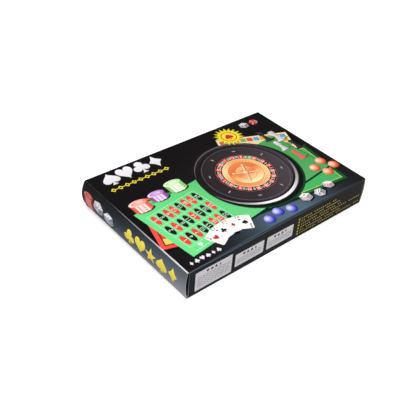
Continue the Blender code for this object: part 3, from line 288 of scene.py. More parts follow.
# Torn fibre ends of 0.2 mm between a pale liner and a grey middle.
CUT_EDGE = Finish(
    "chipboard edge, die cut", Grain(0.22, 4.0), Grain(0.22, 4.0), ("#8f887d", "#d2ccc0"),
    roughness=(0.85, 0.95), bump=0.5, sockets=(("Specular IOR Level", 0.2),),
)
# An ivory sheet, a little greyer where it stretched thin, with the mould's grain in its satin.
TRAY_SHEET = Finish(
    "high-impact polystyrene sheet, vacuum formed", Grain(30.0, 2.0), Grain(0.7, 4.0), ("#dddad3", "#cfccc6"),
    (0.30, 0.75), roughness=(0.38, 0.48), depth=0.06, bump=0.25, sockets=(("IOR", 1.59),),
)
# Foam rubber's open pores of 0.3 mm, a little paler than the rubber between them.
FOAM_RUBBER = Finish(
    "foam rubber, die cut", Grain(0.35, cells=True), Grain(0.35, cells=True), ("#1d1c1c", "#343231"),
    (0.0, 1.0), roughness=(0.85, 0.95), depth=0.08, bump=0.6,
)


def moulded(name: str, colour: str, streak: str, dull: float = 0.24) -> Finish:
    """Injection-moulded plastic: one deep colour with faint flow streaks and a soft orange peel."""
    parts = (Grain(12.0, 5.0, 0.6), Grain(1.2, 1.0), (colour, streak))
    return Finish(name, *parts, roughness=(dull, dull + 0.14), bump=0.15, sockets=(("IOR", 1.59),))


def plated(name: str, colour: str, worn: str, grain: Grain, dull: float) -> Finish:
    """Bare or plated metal: a bright colour with a few worn spots over the relief that its making left."""
    parts = (Grain(7.0, 6.0), grain, (colour, worn), (0.50, 0.85))
    return Finish(name, *parts, roughness=(dull, dull + 0.16), bump=0.2, sockets=(("Metallic", 1.0),))


def stacked(name: str, sheet: float, paper: str, gap: str) -> Finish:
    """Guillotined edges of many sheets: a fine level line to each sheet's thickness, uneven in tone."""
    lines = Grain(sheet, 2.0, stretch=(0.02, 0.02, 1.0))
    return Finish(name, lines, lines, (paper, gap), (0.52, 0.66), roughness=(0.7, 0.8), bump=0.4)


# Tool marks of the lathe lie 0.3 mm apart, drawn coarser than the real 0.05 mm.
TOOL_MARKS = Grain(0.3, 2.0, stretch=(0.1, 0.1, 1.0))
# Platings are mirrors a little softened by the lacquer, silver's clearer than gold's.
RIPPLE = Grain(1.5, 2.0)
GOLD_PLATING = plated("gold-lacquered plastic, vacuum metallised", "#eeb76c", "#dca057", RIPPLE, 0.22)
SILVER_PLATING = plated("chromed plastic, vacuum metallised", "#c9cacd", "#96979b", RIPPLE, 0.14)
# Turned metal is duller, and drawn out along the tool's path.
SCREW_STEEL = plated("zinc-plated steel, cold headed", "#b9bbbe", "#84858a", TOOL_MARKS, 0.24)
WASHER_BRASS = plated("brass, turned", "#c39a52", "#8c6a35", TOOL_MARKS, 0.28)
# Cut stacks show one line to a sheet: 0.3 mm cards, 0.12 mm notes and the 0.35 mm plies of greyboard.
CARD_EDGES = stacked("playing cards, guillotined edges", 0.30, "#e4e0d6", "#8d877c")
NOTE_EDGES = stacked("banknote paper, guillotined edges", 0.12, "#e6dfc6", "#8d877c")
GREYBOARD_EDGE = stacked("laminated greyboard, cut edge", 0.35, "#b0a897", "#8a8376")
# Styrene is softly glossy; the cast-looking acrylic of the marbles is glossier.
PLASTICS = {
    hue: moulded(f"{hue} {plastic}, injection moulded", *look)
    for hue, plastic, *look in (
        ("white", "polystyrene", "#e9e6df", "#dcd8cf"),
        ("black", "polystyrene", "#1b1819", "#242122"),
        ("red", "polystyrene", "#b3201d", "#c8352c"),
        ("green", "polystyrene", "#7fc069", "#96cf80"),
        ("purple", "polystyrene", "#8f4f9e", "#a468b2"),
        ("orange", "acrylic", "#e2592b", "#f08045", 0.10),
        ("blue", "acrylic", "#3437b8", "#5558d8", 0.10),
    )
}
BLACK_STYRENE = PLASTICS["black"]


# Prints, laid out flat in millimetres with v running down the sheet


class Blend(Enum):
    """Ways in which an ink changes over a sheet."""

    ALONG = "from one point to another"
    ROUND = "outward from a point"
    SWEEP = "turning round a point"


@dataclass(frozen=True)
class Ink:
    """Printed colours that follow each other evenly, in any of the ways."""

    codes: tuple[str, ...]
    start: Point = (0.0, 0.0)
    end: Point = (1.0, 0.0)
    blend: Blend = Blend.ALONG

    def colour(self, u: float, v: float) -> Trio:
        """Gives the linear colour at a point.

        Args:
            u: Place across the sheet.
            v: Place down the sheet.

        Returns:
            Red, green and blue.
        """
        across, down = u - self.start[0], v - self.start[1]
        span = (self.end[0] - self.start[0], self.end[1] - self.start[1])
        if self.blend is Blend.ALONG:
            share = (across * span[0] + down * span[1]) / hypot(*span) ** 2
        elif self.blend is Blend.ROUND:
            share = hypot(across, down) / hypot(*span)
        else:
            share = (atan2(down, across) - atan2(span[1], span[0])) / tau % 1
        last = len(self.codes) - 1
        reach = max(0.0, min(1.0, share)) * last
        before = min(int(reach), last)
        low, high = linear(self.codes[before]), linear(self.codes[min(before + 1, last)])
        return tuple(a + (b - a) * (reach - before) for a, b in zip(low, high))


def turned_point(point: Point, centre: Point, turn: float) -> Point:
    """A point turned about the origin by degrees, clockwise on the sheet, and moved to a centre."""
    c, s = cos(radians(turn)), sin(radians(turn))
    return (centre[0] + point[0] * c - point[1] * s, centre[1] + point[0] * s + point[1] * c)


def ray(reach: float, turn: float) -> Point:
    """The point at a distance from the origin, in a direction in degrees."""
    return turned_point((reach, 0), (0, 0), turn)


def oval(wide: float, steps: int, high: float | None = None) -> list[Point]:
    """Outline of an oval about the origin by its two radii, or of a disc by one."""
    angles = [tau * i / steps for i in range(steps)]
    return [(wide * cos(a), (wide if high is None else high) * sin(a)) for a in angles]


def oblong(wide: float, high: float, corner: float = 0) -> list[Point]:
    """Outlines a rectangle about the origin.

    Args:
        wide: Size across.
        high: Size down.
        corner: Radius of its corners.

    Returns:
        The outline.
    """
    right, foot = wide / 2 - corner, high / 2 - corner
    points = []
    for i, middle in enumerate(((right, foot), (-right, foot), (-right, -foot), (right, -foot))):
        angles = [90 * i + 22.5 * k for k in range(5)] if corner else [0]
        points += [turned_point((corner, 0), middle, a) for a in angles]
    return points


def star(outer: float, inner: float, tips: int) -> list[Point]:
    """Outline of a star about the origin."""
    return [ray((outer, inner)[i % 2], 180 * i / tips - 90) for i in range(2 * tips)]


def band(inner: float, outer: float, start: float, end: float, steps: int = 3) -> list[Point]:
    """Outline of a part of a ring about the origin, between two angles in degrees."""
    angles = [start + (end - start) * i / steps for i in range(steps + 1)]
    return [ray(reach, a) for reach, run in ((outer, angles), (inner, angles[::-1])) for a in run]


class Suit(Enum):
    """The four suits of a pack of cards."""

    HEART = "heart"
    SPADE = "spade"
    CLUB = "club"
    DIAMOND = "diamond"

    def outlines(self, size: float) -> list[list[Point]]:
        """Draws the suit's sign about the origin.

        Args:
            size: Its height.

        Returns:
            The outlines that make it up.
        """
        foot = [(-0.34, 1.0), (0.34, 1.0), (0.12, 0.72), (0.07, 0.2), (-0.07, 0.2), (-0.12, 0.72)]
        if self is Suit.DIAMOND:
            right = [(0, -1), (0.3, -0.42), (0.74, 0), (0.3, 0.42)]
            shapes = [right + [(-x, -y) for x, y in right]]
        elif self is Suit.CLUB:
            lobe = oval(0.45, 16)
            shapes = [[(x + u, y + v) for x, y in lobe] for u, v in ((0, -0.52), (-0.48, 0.18), (0.48, 0.18))]
            shapes += [foot, [(-0.2, -0.3), (0.2, -0.3), (0.3, 0.3), (-0.3, 0.3)]]
        else:
            heart = []
            for a in [tau * i / 28 for i in range(28)]:
                rise = 13 * cos(a) - 5 * cos(2 * a) - 2 * cos(3 * a) - cos(4 * a)
                heart.append((0.94 * sin(a) ** 3, -(rise + 2.5) / 14.5))
            shapes = [[(x, -0.84 * y - 0.14) for x, y in heart], foot] if self is Suit.SPADE else [heart]
        return [[(x * size / 2, y * size / 2) for x, y in shape] for shape in shapes]


SUITS = (Suit.SPADE, Suit.HEART, Suit.CLUB, Suit.DIAMOND)
# Strokes of the ten figures on a grid of 2 by 4, as lines to draw with one pen.
FIGURES = {
    "0": ((0, 0), (2, 0), (2, 4), (0, 4), (0, 0)),
    "1": ((0.4, 0.8), (1.2, 0), (1.2, 4)),
    "2": ((0, 0.4), (0.4, 0), (2, 0), (2, 1.7), (0, 4), (2, 4)),
    "3": ((0, 0), (2, 0), (0.8, 1.7), (2, 2.2), (2, 4), (0, 4)),
    "4": ((1.5, 4), (1.5, 0), (0, 2.8), (2.2, 2.8)),
    "5": ((2, 0), (0, 0), (0, 1.8), (2, 1.8), (2, 4), (0, 4)),
    "6": ((2, 0), (0, 0), (0, 4), (2, 4), (2, 2), (0, 2)),
    "7": ((0, 0), (2, 0), (0.8, 4)),
    "8": ((0, 0), (2, 0), (2, 4), (0, 4), (0, 0), (0, 2), (2, 2)),
    "9": ((2, 2), (0, 2), (0, 0), (2, 0), (2, 4), (0, 4)),
}
# A wheel's pockets in the common single-zero order, and the numbers that a betting mat shows on red.
POCKETS = (
    "0 32 15 19 4 21 2 25 17 34 6 27 13 36 11 30 8 23 10 "
    "5 24 16 33 1 20 14 31 9 22 18 29 7 28 12 35 3 26"
).split()
RED_NUMBERS = (1, 3, 5, 7, 9, 12, 14, 16, 18, 19, 21, 23, 25, 27, 30, 32, 34, 36)
# Places of a die's pips on a face, as shares of half its size.
PIPS = {
    1: ((0, 0),),
    2: ((-0.5, -0.5), (0.5, 0.5)),
    3: ((-0.5, -0.5), (0, 0), (0.5, 0.5)),
    4: ((-0.5, -0.5), (0.5, -0.5), (-0.5, 0.5), (0.5, 0.5)),
    5: ((-0.5, -0.5), (0.5, -0.5), (0, 0), (-0.5, 0.5), (0.5, 0.5)),
    6: ((-0.5, -0.55), (0.5, -0.55), (-0.5, 0), (0.5, 0), (-0.5, 0.55), (0.5, 0.55)),
}


def figures(number: str, size: float, pen: float = 0.62) -> list[list[Point]]:
    """Draws a number with plain strokes about the origin.

    Args:
        number: The number.
        size: Its height.
        pen: Width of the strokes on the figures' own grid.

    Returns:
        The strokes' outlines.
    """
    unit = size / 4
    strokes = []
    for i, figure in enumerate(number):
        corners = [(x + 3.1 * (i - len(number) / 2) + 0.55, y - 2) for x, y in FIGURES[figure]]
        for (ax, ay), (bx, by) in zip(corners, corners[1:]):
            angle = degrees(atan2(by - ay, bx - ax))
            bar = oblong((hypot(bx - ax, by - ay) + pen) * unit, pen * unit)
            middle = ((ax + bx) / 2 * unit, (ay + by) / 2 * unit)
            strokes.append([turned_point(p, middle, angle) for p in bar])
    return strokes


def side_points(outline: Sequence[Point], longest: float, forward: bool = True) -> list[Point]:
    """Runs a closed outline one way round, its sides cut to a length.

    Args:
        outline: The outline.
        longest: Longest side.
        forward: Which way it runs.

    Returns:
        The points.
    """
    area = sum(a[0] * b[1] - b[0] * a[1] for a, b in zip(outline, [*outline[1:], outline[0]]))
    ordered = list(outline) if (area > 0) == forward else list(reversed(outline))
    points = []
    for a, b in zip(ordered, [*ordered[1:], ordered[0]]):
        parts = max(1, ceil(dist(a, b) / longest))
        points += [(a[0] + (b[0] - a[0]) * i / parts, a[1] + (b[1] - a[1]) * i / parts) for i in range(parts)]
    return points


@dataclass
class Layer:
    """A part of a print with its own middle and turn, and the things that are often drawn there."""

    under: Artwork | Layer
    at: Point
    turn: float = 0.0

    def add(
        self, ink: Ink | str | None, *outlines: Sequence[Point], at: Point = (0, 0), turn: float = 0
    ) -> None:
        """Lays shapes of one ink on this part."""
        moved = [[turned_point(p, at, turn) for p in outline] for outline in outlines]
        self.under.add(ink, *moved, at=self.at, turn=self.turn)

    def row(self, kinds: Iterable[Suit], start: Point, pitch: float, size: float, *inks: Ink | str) -> None:
        """Prints suits in a row, their inks taking turns."""
        for i, kind in enumerate(kinds):
            self.add(inks[i % len(inks)], *kind.outlines(size), at=(start[0] + pitch * i, start[1]))

    def corner_suits(self, size: float, across: float, down: float, ink: str) -> None:
        """Prints the four suits in the corners of an oblong, by half its width and half its height."""
        for kind, (x, y) in zip(Suit, ((-1, -1), (1, -1), (1, 1), (-1, 1))):
            self.add(ink, *kind.outlines(size), at=(x * across, y * down))

    def card(self, suit: Suit, rank: str, width: float) -> None:
        """Prints a playing card.

        Args:
            suit: Its suit.
            rank: Its number.
            width: Its width.
        """
        high = 1.42 * width
        ink = "#c8262a" if suit in (Suit.HEART, Suit.DIAMOND) else "#1c191b"
        self.add("#2a3a33", oblong(width, high, 2), at=(0.7, 1.0))
        self.add("#f6f2ee", oblong(width, high, 2))
        for sign in (-1, 1):
            self.add(ink, *figures(rank, width * 0.20), at=(sign * width * 0.34, sign * high * 0.38))
            self.add(ink, *suit.outlines(width * 0.17), at=(sign * width * 0.34, sign * high * 0.20))
        self.add(ink, *suit.outlines(width * 0.46))

    def pockets(self, inner: float, outer: float, size: float, tones: tuple[str, str, str]) -> None:
        """Prints a wheel's ring of numbers.

        Args:
            inner: Its inner radius.
            outer: Its outer radius.
            size: Height of the numbers.
            tones: Colours of the zero and of every other pocket.
        """
        step = 360 / len(POCKETS)
        for i, number in enumerate(POCKETS):
            start = step * (i - 0.5)
            tone = tones[0] if i == 0 else tones[1 + i % 2]
            self.add(tone, band(inner, outer, start + 0.25, start + step - 0.25))
            spot = ray((inner + outer) / 2, step * i)
            self.add("#f3efe9", *figures(number, size), at=spot, turn=step * i + 90)

    def betting_boxes(self, size: Point, columns: int, line: str, *tones: str) -> None:
        """Rules numbered betting boxes in three rows, with a number on each.

        Args:
            size: A box's size across and down.
            columns: Number of boxes across.
            line: Ink of the rules and the numbers.
            tones: Inks of the black ovals and the red.
        """
        cell, row = size
        left = -columns * cell / 2
        for i in range(columns + 1):
            self.add(line, oblong(cell / 22, 3 * row), at=(left + cell * i, 0))
        for j in range(4):
            self.add(line, oblong(columns * cell, cell / 22), at=(0, row * (j - 1.5)))
        for number in range(1, 3 * columns + 1):
            spot = (left + cell * ((number - 1) // 3 + 0.5), row * (1 - (number - 1) % 3))
            self.add(tones[number in RED_NUMBERS], oval(cell * 0.38, 24, row * 0.4), at=spot)
            self.add(line, *figures(str(number), cell * 0.49, 0.55), at=spot, turn=-90)

    def track(self, wide: float, high: float, cell: float, across: int, down: int) -> None:
        """Prints coloured squares round a board's edge, between brown rules.

        Args:
            wide: The board's size across.
            high: Its size down.
            cell: Size of a square.
            across: Squares in a long side.
            down: Squares in a short side.
        """
        rule = cell / 17
        for reach, tone in ((9, "#9a5a3c"), (10, "#efdcae"), (38, "#9a5a3c"), (39, "#e9d3a0")):
            self.add(tone, oblong(wide - 2 * reach * rule, high - 2 * reach * rule))
        tones = ("#c65a3c", "#5f9fc4", "#d8a23c", "#7fa65a")
        right, foot = wide / 2 - 24.5 * rule, high / 2 - 24.5 * rule
        spots = [(i, sign, 2 * i / (across - 1) - 1, sign) for i in range(across) for sign in (-1, 1)]
        spots += [(i, sign, sign, 2 * i / (down - 1) - 1) for i in range(1, down - 1) for sign in (-1, 1)]
        for i, sign, x, y in spots:
            self.add(tones[(i + (sign > 0)) % 4], oblong(cell, cell), at=(right * x, foot * y))

    def chequers(self, cell: float, dark: str, pale: str) -> None:
        """Prints a chequered board in a dark red frame.

        Args:
            cell: Size of a square.
            dark: Ink of the dark squares.
            pale: Ink of the pale squares.
        """
        self.add("#7c1d19", oblong(8.33 * cell, 8.33 * cell))
        for i in range(8):
            for j in range(8):
                spot = ((i - 3.5) * cell, (j - 3.5) * cell)
                self.add((dark, pale)[(i + j) % 2], oblong(cell, cell), at=spot)


@dataclass
class Artwork:
    """A flat print: a ground ink with shapes laid over it, each hiding what lies under it."""

    outline: list[Point]
    ground: Ink | str
    step: float = 12.0
    longest: float = 400.0
    shapes: list[tuple[list[Point], Ink | None]] = field(default_factory=list)
    samples: list[Point] = field(default_factory=list)
    creases: list[float] = field(default_factory=list)

    @classmethod
    def page(cls, wide: float, high: float, ground: Ink | str, step: float = 12.0) -> Artwork:
        """A rectangular print."""
        return cls([(0, 0), (wide, 0), (wide, high), (0, high)], ground, step)

    def add(
        self, ink: Ink | str | None, *outlines: Sequence[Point], at: Point = (0, 0), turn: float = 0
    ) -> None:
        """Lays shapes of one ink on top, turned and moved to a place; no ink punches a hole."""
        made = Ink((ink,)) if isinstance(ink, str) else ink
        self.shapes += [([turned_point(p, at, turn) for p in outline], made) for outline in outlines]

    def ball(self, at: Point, radius: float, *codes: str) -> None:
        """Lays a shaded ball, its blend sampled on rings inside it.

        Args:
            at: Its middle.
            radius: Its radius.
            codes: Its colours, from its shine to its rim.
        """
        shine = (at[0] - 0.3 * radius, at[1] - 0.35 * radius)
        blend = Ink(codes, shine, (shine[0] + 1.38 * radius, shine[1]), Blend.ROUND)
        self.add(blend, oval(radius, 26), at=at)
        for share in (0.2, 0.4, 0.6, 0.8, 0.92):
            self.samples += [(x + at[0], y + at[1]) for x, y in oval(radius * share, max(8, int(26 * share)))]

    def cells(self) -> tuple[list[Point], list[tuple[int, int, int]], list[Ink]]:
        """Cuts the sheet into triangles of one ink each.

        Returns:
            The points, the triangles and each triangle's ink.
        """
        points: list[Point] = []
        loops: list[list[int]] = []
        for outline in [self.outline, *(shape for shape, _ in self.shapes)]:
            start = len(points)
            points += side_points(outline, self.longest)
            loops.append(list(range(start, len(points))))
        (low_u, low_v), (high_u, high_v) = self.corners()
        across = max(2, ceil((high_u - low_u) / self.step))
        down = max(2, ceil((high_v - low_v) / self.step))
        spots = [((i + 0.5) / across, (j + 0.5) / down) for i in range(across) for j in range(down)]
        grid = [(low_u + (high_u - low_u) * s, low_v + (high_v - low_v) * t) for s, t in spots]
        inner = [p for p in grid + self.samples if low_u < p[0] < high_u and low_v < p[1] < high_v]
        bends = [(len(points) + 2 * i, len(points) + 2 * i + 1) for i in range(len(self.creases))]
        ends = [(u, v) for u in self.creases for v in (low_v, high_v)]
        vectors = [Vector(p) for p in points + ends + inner]
        flat, _, faces, _, _, owners = delaunay_2d_cdt(vectors, bends, loops, 1, 1e-5)
        ground = Ink((self.ground,)) if isinstance(self.ground, str) else self.ground
        inks = [ground, *(ink for _, ink in self.shapes)]
        pairs = [(tuple(face), inks[max(owner)]) for face, owner in zip(faces, owners) if 0 in owner]
        kept = [(face, ink) for face, ink in pairs if ink is not None]
        present = sorted({i for face, _ in kept for i in face})
        number = {old: new for new, old in enumerate(present)}
        cells = [tuple(number[i] for i in face) for face, _ in kept]
        return [(flat[i].x, flat[i].y) for i in present], cells, [ink for _, ink in kept]

    def corners(self) -> tuple[Point, Point]:
        """The low and high corner of the sheet."""
        across, down = zip(*self.outline)
        return (min(across), min(down)), (max(across), max(down))

    def middle(self) -> tuple[Layer, float, float]:
        """The part of a sheet about its middle, with the sheet's width and height."""
        wide, high = self.corners()[1]
        return Layer(self, (wide / 2, high / 2)), wide, high


# Making pieces


def new_piece(
    name: str,
    points: Iterable[Sequence[float]],
    faces: Sequence[Sequence[int]],
    finishes: Sequence[Finish],
    picks: Sequence[int] = (),
    smooth: bool = False,
) -> Thing:
    """Makes an object of a mesh.

    Args:
        name: The piece's name.
        points: Its points, in metres.
        faces: Its faces as point numbers.
        finishes: Its finishes.
        picks: Each face's finish by number; all take the first if left out.
        smooth: Whether its faces shade smoothly across their blunt edges.

    Returns:
        The object.
    """
    mesh = bpy.data.meshes.new(name)
    mesh.from_pydata([tuple(p) for p in points], [], [tuple(f) for f in faces])
    for finish in finishes:
        mesh.materials.append(finish.material())
    if picks:
        mesh.polygons.foreach_set("material_index", list(picks))
    if smooth:
        mesh.polygons.foreach_set("use_smooth", [True] * len(mesh.polygons))
        mesh.set_sharp_from_angle(angle=SHARP)
    mesh.update()
    piece = bpy.data.objects.new(name, mesh)
    bpy.context.scene.collection.objects.link(piece)
    return piece


def mount(piece: Thing, body: str, slot: str, *nodes: str) -> None:
    """Fixes a piece to its body, hides the nodes that it stands for and logs them.

    Args:
        piece: The piece.
        body: The body that it moves with.
        slot: Name of a material slot; not used.
        nodes: The nodes that it stands for.
    """
    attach(piece, body)
    if nodes:
        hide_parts(*nodes)
    LOG.info("%s rides on %s and stands for %s", piece.name, body, ", ".join(nodes) or "nothing")


def turned(profile: Sequence[Point], steps: int, centre: Sequence[float] = (0, 0, 0)) -> tuple[list, list]:
    """Turns a closed section, as radius and height, about an upright axis.

    Args:
        profile: The section; points at radius 0 close on the axis.
        steps: Divisions round the axis.
        centre: The axis's foot.

    Returns:
        The points and faces.
    """
    points: list[Vector] = []
    rings: list[list[int]] = []
    for radius, height in profile:
        angles = [tau * i / steps for i in range(steps if radius > 1e-9 else 1)]
        rings.append(list(range(len(points), len(points) + len(angles))))
        points += [Vector(centre) + Vector((radius * cos(a), radius * sin(a), height)) for a in angles]
    faces = []
    closed = len(rings[0]) > 1 or len(rings[-1]) > 1
    for low, high in [*zip(rings, rings[1:]), *([(rings[-1], rings[0])] if closed else [])]:
        for i in range(steps):
            j = (i + 1) % steps
            ring = [low[i % len(low)], low[j % len(low)], high[j % len(high)], high[i % len(high)]]
            corners = list(dict.fromkeys(ring))
            if len(corners) > 2:
                faces.append(corners)
    return points, faces


def paint(piece: Thing, colours: Sequence[Sequence[float]]) -> None:
    """Gives each corner of each face its linear ink."""
    layer = piece.data.color_attributes.new(name="ink", type="FLOAT_COLOR", domain="CORNER")
    layer.data.foreach_set("color", [c for colour in colours for c in (*colour[:3], 1.0)])


def flat_place(origin: Sequence[float], *axes: Sequence[float]) -> Place:
    """Lays a flat sheet into space from its corner, along its directions across, down and into it."""
    corner, (right, foot, inward) = Vector(origin), (Vector(axis) for axis in axes)
    return lambda u, v, w: (corner + right * u + foot * v + inward * w) * MM


@dataclass
class PrintedSheet:
    """A board or paper sheet: its print on one side, its back on the other and its cut edges."""

    name: str
    artwork: Artwork
    place: Place
    thickness: float = 0.6
    face: Finish = GLOSS_PRINT
    back: Finish = GREY_BACK
    edge: Finish = CUT_EDGE
    back_ink: str = "#bcb8b0"
    smooth: bool = False

    def build(self) -> Thing:
        """Makes the sheet.

        Returns:
            The object, with its ink as a colour attribute and a map for baking.
        """
        art = self.artwork
        flat, cells, inks = art.cells()
        loops = [art.outline, *(shape for shape, ink in art.shapes if ink is None)]
        bare = Artwork(art.outline, art.ground, art.step, art.longest, creases=art.creases)
        bare.add(None, *loops[1:])
        under, under_cells, _ = bare.cells()
        low, high = art.corners()
        unit = 1 / max(high[0] - low[0], 2 * (high[1] - low[1]))
        share = (high[1] - low[1]) * unit
        points = [self.place(u, v, 0) for u, v in flat] + [self.place(u, v, self.thickness) for u, v in under]
        front = [((u - low[0]) * unit, (v - low[1]) * unit) for u, v in flat]
        rear = [((u - low[0]) * unit, share + (v - low[1]) * unit * 0.98) for u, v in under]
        faces, picks, colours, maps = [], [], [], []
        first = cells[0]
        spread = (points[first[1]] - points[first[0]]).cross(points[first[2]] - points[first[0]])
        outward = self.place(*flat[first[0]], 0) - self.place(*flat[first[0]], self.thickness)
        way = -1 if spread.dot(outward) < 0 else 1
        for cell, ink in zip(cells, inks):
            faces.append(cell[::way])
            picks.append(0)
            colours += [ink.colour(*flat[i]) for i in faces[-1]]
            maps += [front[i] for i in faces[-1]]
        for cell in under_cells:
            faces.append(tuple(len(flat) + i for i in cell[::-way]))
            picks.append(1)
            colours += [linear(self.back_ink)] * 3
            maps += [rear[i] for i in cell[::-way]]
        for number, loop in enumerate(loops):
            around = side_points(loop, art.longest, number == 0)
            base, count = len(points), len(around)
            points += [self.place(u, v, w) for u, v in around for w in (0, self.thickness)]
            for i in range(count):
                j = (i + 1) % count
                faces.append((base + 2 * i, base + 2 * i + 1, base + 2 * j + 1, base + 2 * j)[::way])
                picks.append(2)
                colours += [linear(self.back_ink)] * 4
                left, right = i / count, (i + 1) / count
                maps += [(left, 0.985), (left, 0.999), (right, 0.999), (right, 0.985)][::way]
        piece = new_piece(self.name, points, faces, (self.face, self.back, self.edge), picks)
        paint(piece, colours)
        bake = piece.data.uv_layers.new(name="OFBake")
        bake.uv.foreach_set("vector", [c for place in maps for c in place])
        if self.smooth:
            piece.data.polygons.foreach_set("use_smooth", [pick < 2 for pick in picks])
        return piece


# The carton


@dataclass
class Carton:
    """The printed sleeve, its two tuck ends and their flaps, in millimetres."""

    length: float = 340.6
    depth: float = 236.0
    height: float = 45.0
    board: float = 0.6
    crease: float = 0.8
    wall_reach: float = 168.9
    top_reach: float = 170.9
    straight: float = 0.6
    turning_room: float = 0.35
    lap: float = 18.0
    lap_reach: float = 168.3
    glue_gap: float = 0.02
    closure_width: float = 235.0
    bow_front: float = 2.6
    bow_back: float = 6.0
    hinge: float = 44.7
    foot: float = 1.8
    tongue_hinge: float = 1.2
    shoulder: float = 7.5
    shoulder_foot: float = 0.35
    tongue_length: float = 15.6
    tongue_rise: float = 4.0
    flap_axis: Point = (168.9, 117.7)
    flap_reach: float = 42.0
    flap_slopes: Point = (0.10, 0.46)
    flap_corner: float = 6.0
    flap_room: Point = (0.6, 0.9)
    flap_nick: float = 0.3
    crease_room: float = 1.5
    tongue_room: float = 1.0
    tongue_taper: Points = ((0, 1), (0.25, 0.997), (0.5, 0.992), (0.75, 0.982), (0.92, 0.966), (1, 0.94))
    # Middle, width and height of each pale panel on the front, and height and reach of each yellow row.
    panels: tuple[tuple[float, ...], ...] = ((41, 22.4, 62, 31.4), (104, 23, 52, 22), (161.5, 23, 51, 22))
    rows: Points = ((9.8, 78), (15, 84), (20.6, 92), (26, 136), (31.6, 96), (36.6, 136))
    walls: tuple[tuple[str, int], ...] = (("front", -1), ("back", 1))
    # Ink of the blank's margins and bleeds.
    black: str = "#1a1617"
    gold: str = "#b9a63a"

    def crease_point(self, wall: int, level: int, *spot: float) -> Vector:
        """Bends a strip round a long crease, from the large panel to the straight wall.

        Args:
            wall: 1 for the back wall and -1 for the front.
            level: 1 for the top and -1 for the bottom.
            spot: Place round the crease and along it, and depth into the board.

        Returns:
            The point.
        """
        u, v, w = spot
        bend = self.crease * pi / 2
        angle, radius = min(u, bend) / self.crease, self.crease - w
        y = wall * (self.depth / 2 - self.crease + radius * sin(angle))
        z = level * (self.height / 2 - self.crease + radius * cos(angle) - max(0.0, u - bend))
        return Vector((v, y, self.height / 2 + z)) * MM

    def closure_point(self, side: int, *spot: float) -> Vector:
        """Bows a closure outward, more at its back than at its front.

        Args:
            side: 1 for the right end and -1 for the left.
            spot: Place across the closure and below its hinge, and depth from its print.

        Returns:
            The point.
        """
        u, v, w = spot
        drop, y = self.hinge - self.foot, side * (u - self.closure_width / 2)
        bow = self.bow_front + (self.bow_back - self.bow_front) * (y / self.closure_width + 0.5)
        down = min(1.0, v / drop)
        slope = bow * 4 * (1 - 2 * down) if down < 1 else 0.0
        off = (self.board / 2 - w) / hypot(drop, slope)
        x = self.top_reach + bow * 4 * down * (1 - down) + off * drop
        return Vector((side * x, y, self.hinge - v + off * slope)) * MM

    def tongue_point(self, side: int, *spot: float) -> Vector:
        """Curls a tongue up as it runs in under the tray, its print facing down.

        Args:
            side: 1 for the right end and -1 for the left.
            spot: Place across the tongue and inward from its hinge, and depth from its print.

        Returns:
            The point.
        """
        u, v, w = spot
        share = v / self.tongue_length
        slope = 2 * self.tongue_rise * share
        off = (self.board / 2 - w) / hypot(self.tongue_length, slope)
        z = self.tongue_hinge + self.tongue_rise * share**2 - off * self.tongue_length
        x, y = self.top_reach - v - off * slope, u - self.closure_width / 2
        return Vector((side * x, side * y, z)) * MM

    def worn_edge(
        self, art: Artwork, near: Point, far: Point, width: float, inward: Point, lean: float = 0.8
    ) -> None:
        """Draws a pale line along an edge, white and widest at its near end, greying and narrowing to its far
        end.

        Args:
            art: The print.
            near: Where the line is widest.
            far: Where it runs out.
            width: Its width there.
            inward: Direction into the sheet.
            lean: Power that shapes its narrowing.
        """
        count = 40
        edge, ragged = [], []
        for i in range(count + 1):
            s = i / count
            reach = width * (1 - s) ** lean * (0.78 + 0.22 * sin(9.1 * i) * sin(3.7 * i + 1))
            reach = max(reach, 0.02)
            edge.append((near[0] + (far[0] - near[0]) * s, near[1] + (far[1] - near[1]) * s))
            ragged.append((edge[-1][0] + inward[0] * reach, edge[-1][1] + inward[1] * reach))
        art.add(Ink(("#e9eaea", "#c6c8cb", "#74767b"), near, far), edge + ragged[::-1])

    def top_print(self) -> Artwork:
        """Lays out the top panel: the scene, and a pale line along the left crease.

        Returns:
            The print.
        """
        wide, high = 2 * (self.top_reach - self.turning_room), self.depth - 2 * self.crease
        codes = ("#587080", "#4d626f", "#36424b", "#26272b", "#1f1c1f", "#191618", "#141112")
        art = Artwork.page(wide, high, Ink(codes, (190, 240), (400, 240), Blend.ROUND), 8.0)
        TopScene(art).draw()
        self.worn_edge(art, (0, high), (0, 68), 1.0, (1, 0), 0.6)
        return art

    def wall_size(self) -> Point:
        """Width and height of the straight part of a long wall."""
        return 2 * (self.wall_reach - self.turning_room), self.height - 2 * (self.crease + self.straight)

    def front_print(self) -> Artwork:
        """Lays out the front wall: three pale panels and rows of small yellow ornaments.

        Returns:
            The print.
        """
        wide, high = self.wall_size()
        art = Artwork.page(wide, high, Ink(("#171c23", "#15171a", "#120e0f"), (0, 0), (wide, 0)))
        line_pitch, gap = 3.1, 1.4
        for u, v, size, tall in self.panels:
            panel = Layer(art, (u, v))
            panel.add("#d8d4d6", oblong(size, tall, 1.2))
            head = 5 - tall / 2
            panel.row(Suit, (-10.5, head), 7, 5, "#3f3c42")
            for row in range(int((tall - 10) / line_pitch)):
                u = 4 - size / 2
                while u < size / 2 - 5:
                    dash = min(3.6 + (int(abs(u) * 7) + row * 5) % 6, size / 2 - 3 - u)
                    panel.add("#77747b", oblong(dash, 1.0), at=(u + dash / 2, head + 5.4 + line_pitch * row))
                    u += dash + gap
        for row, (v, reach) in enumerate(self.rows):
            art.add("#c9b43c", star(2.3, 1.2, 4), at=(198, v))
            for i in [i for i in range(int(reach / 4.4)) if (i * 7 + row * 3) % 9 < 8]:
                mark = star(1.7, 0.9, 4) if (i + row) % 3 else oblong(3.0, 1.3)
                art.add(self.gold, mark, at=(204 + 4.4 * i, v))
        return art

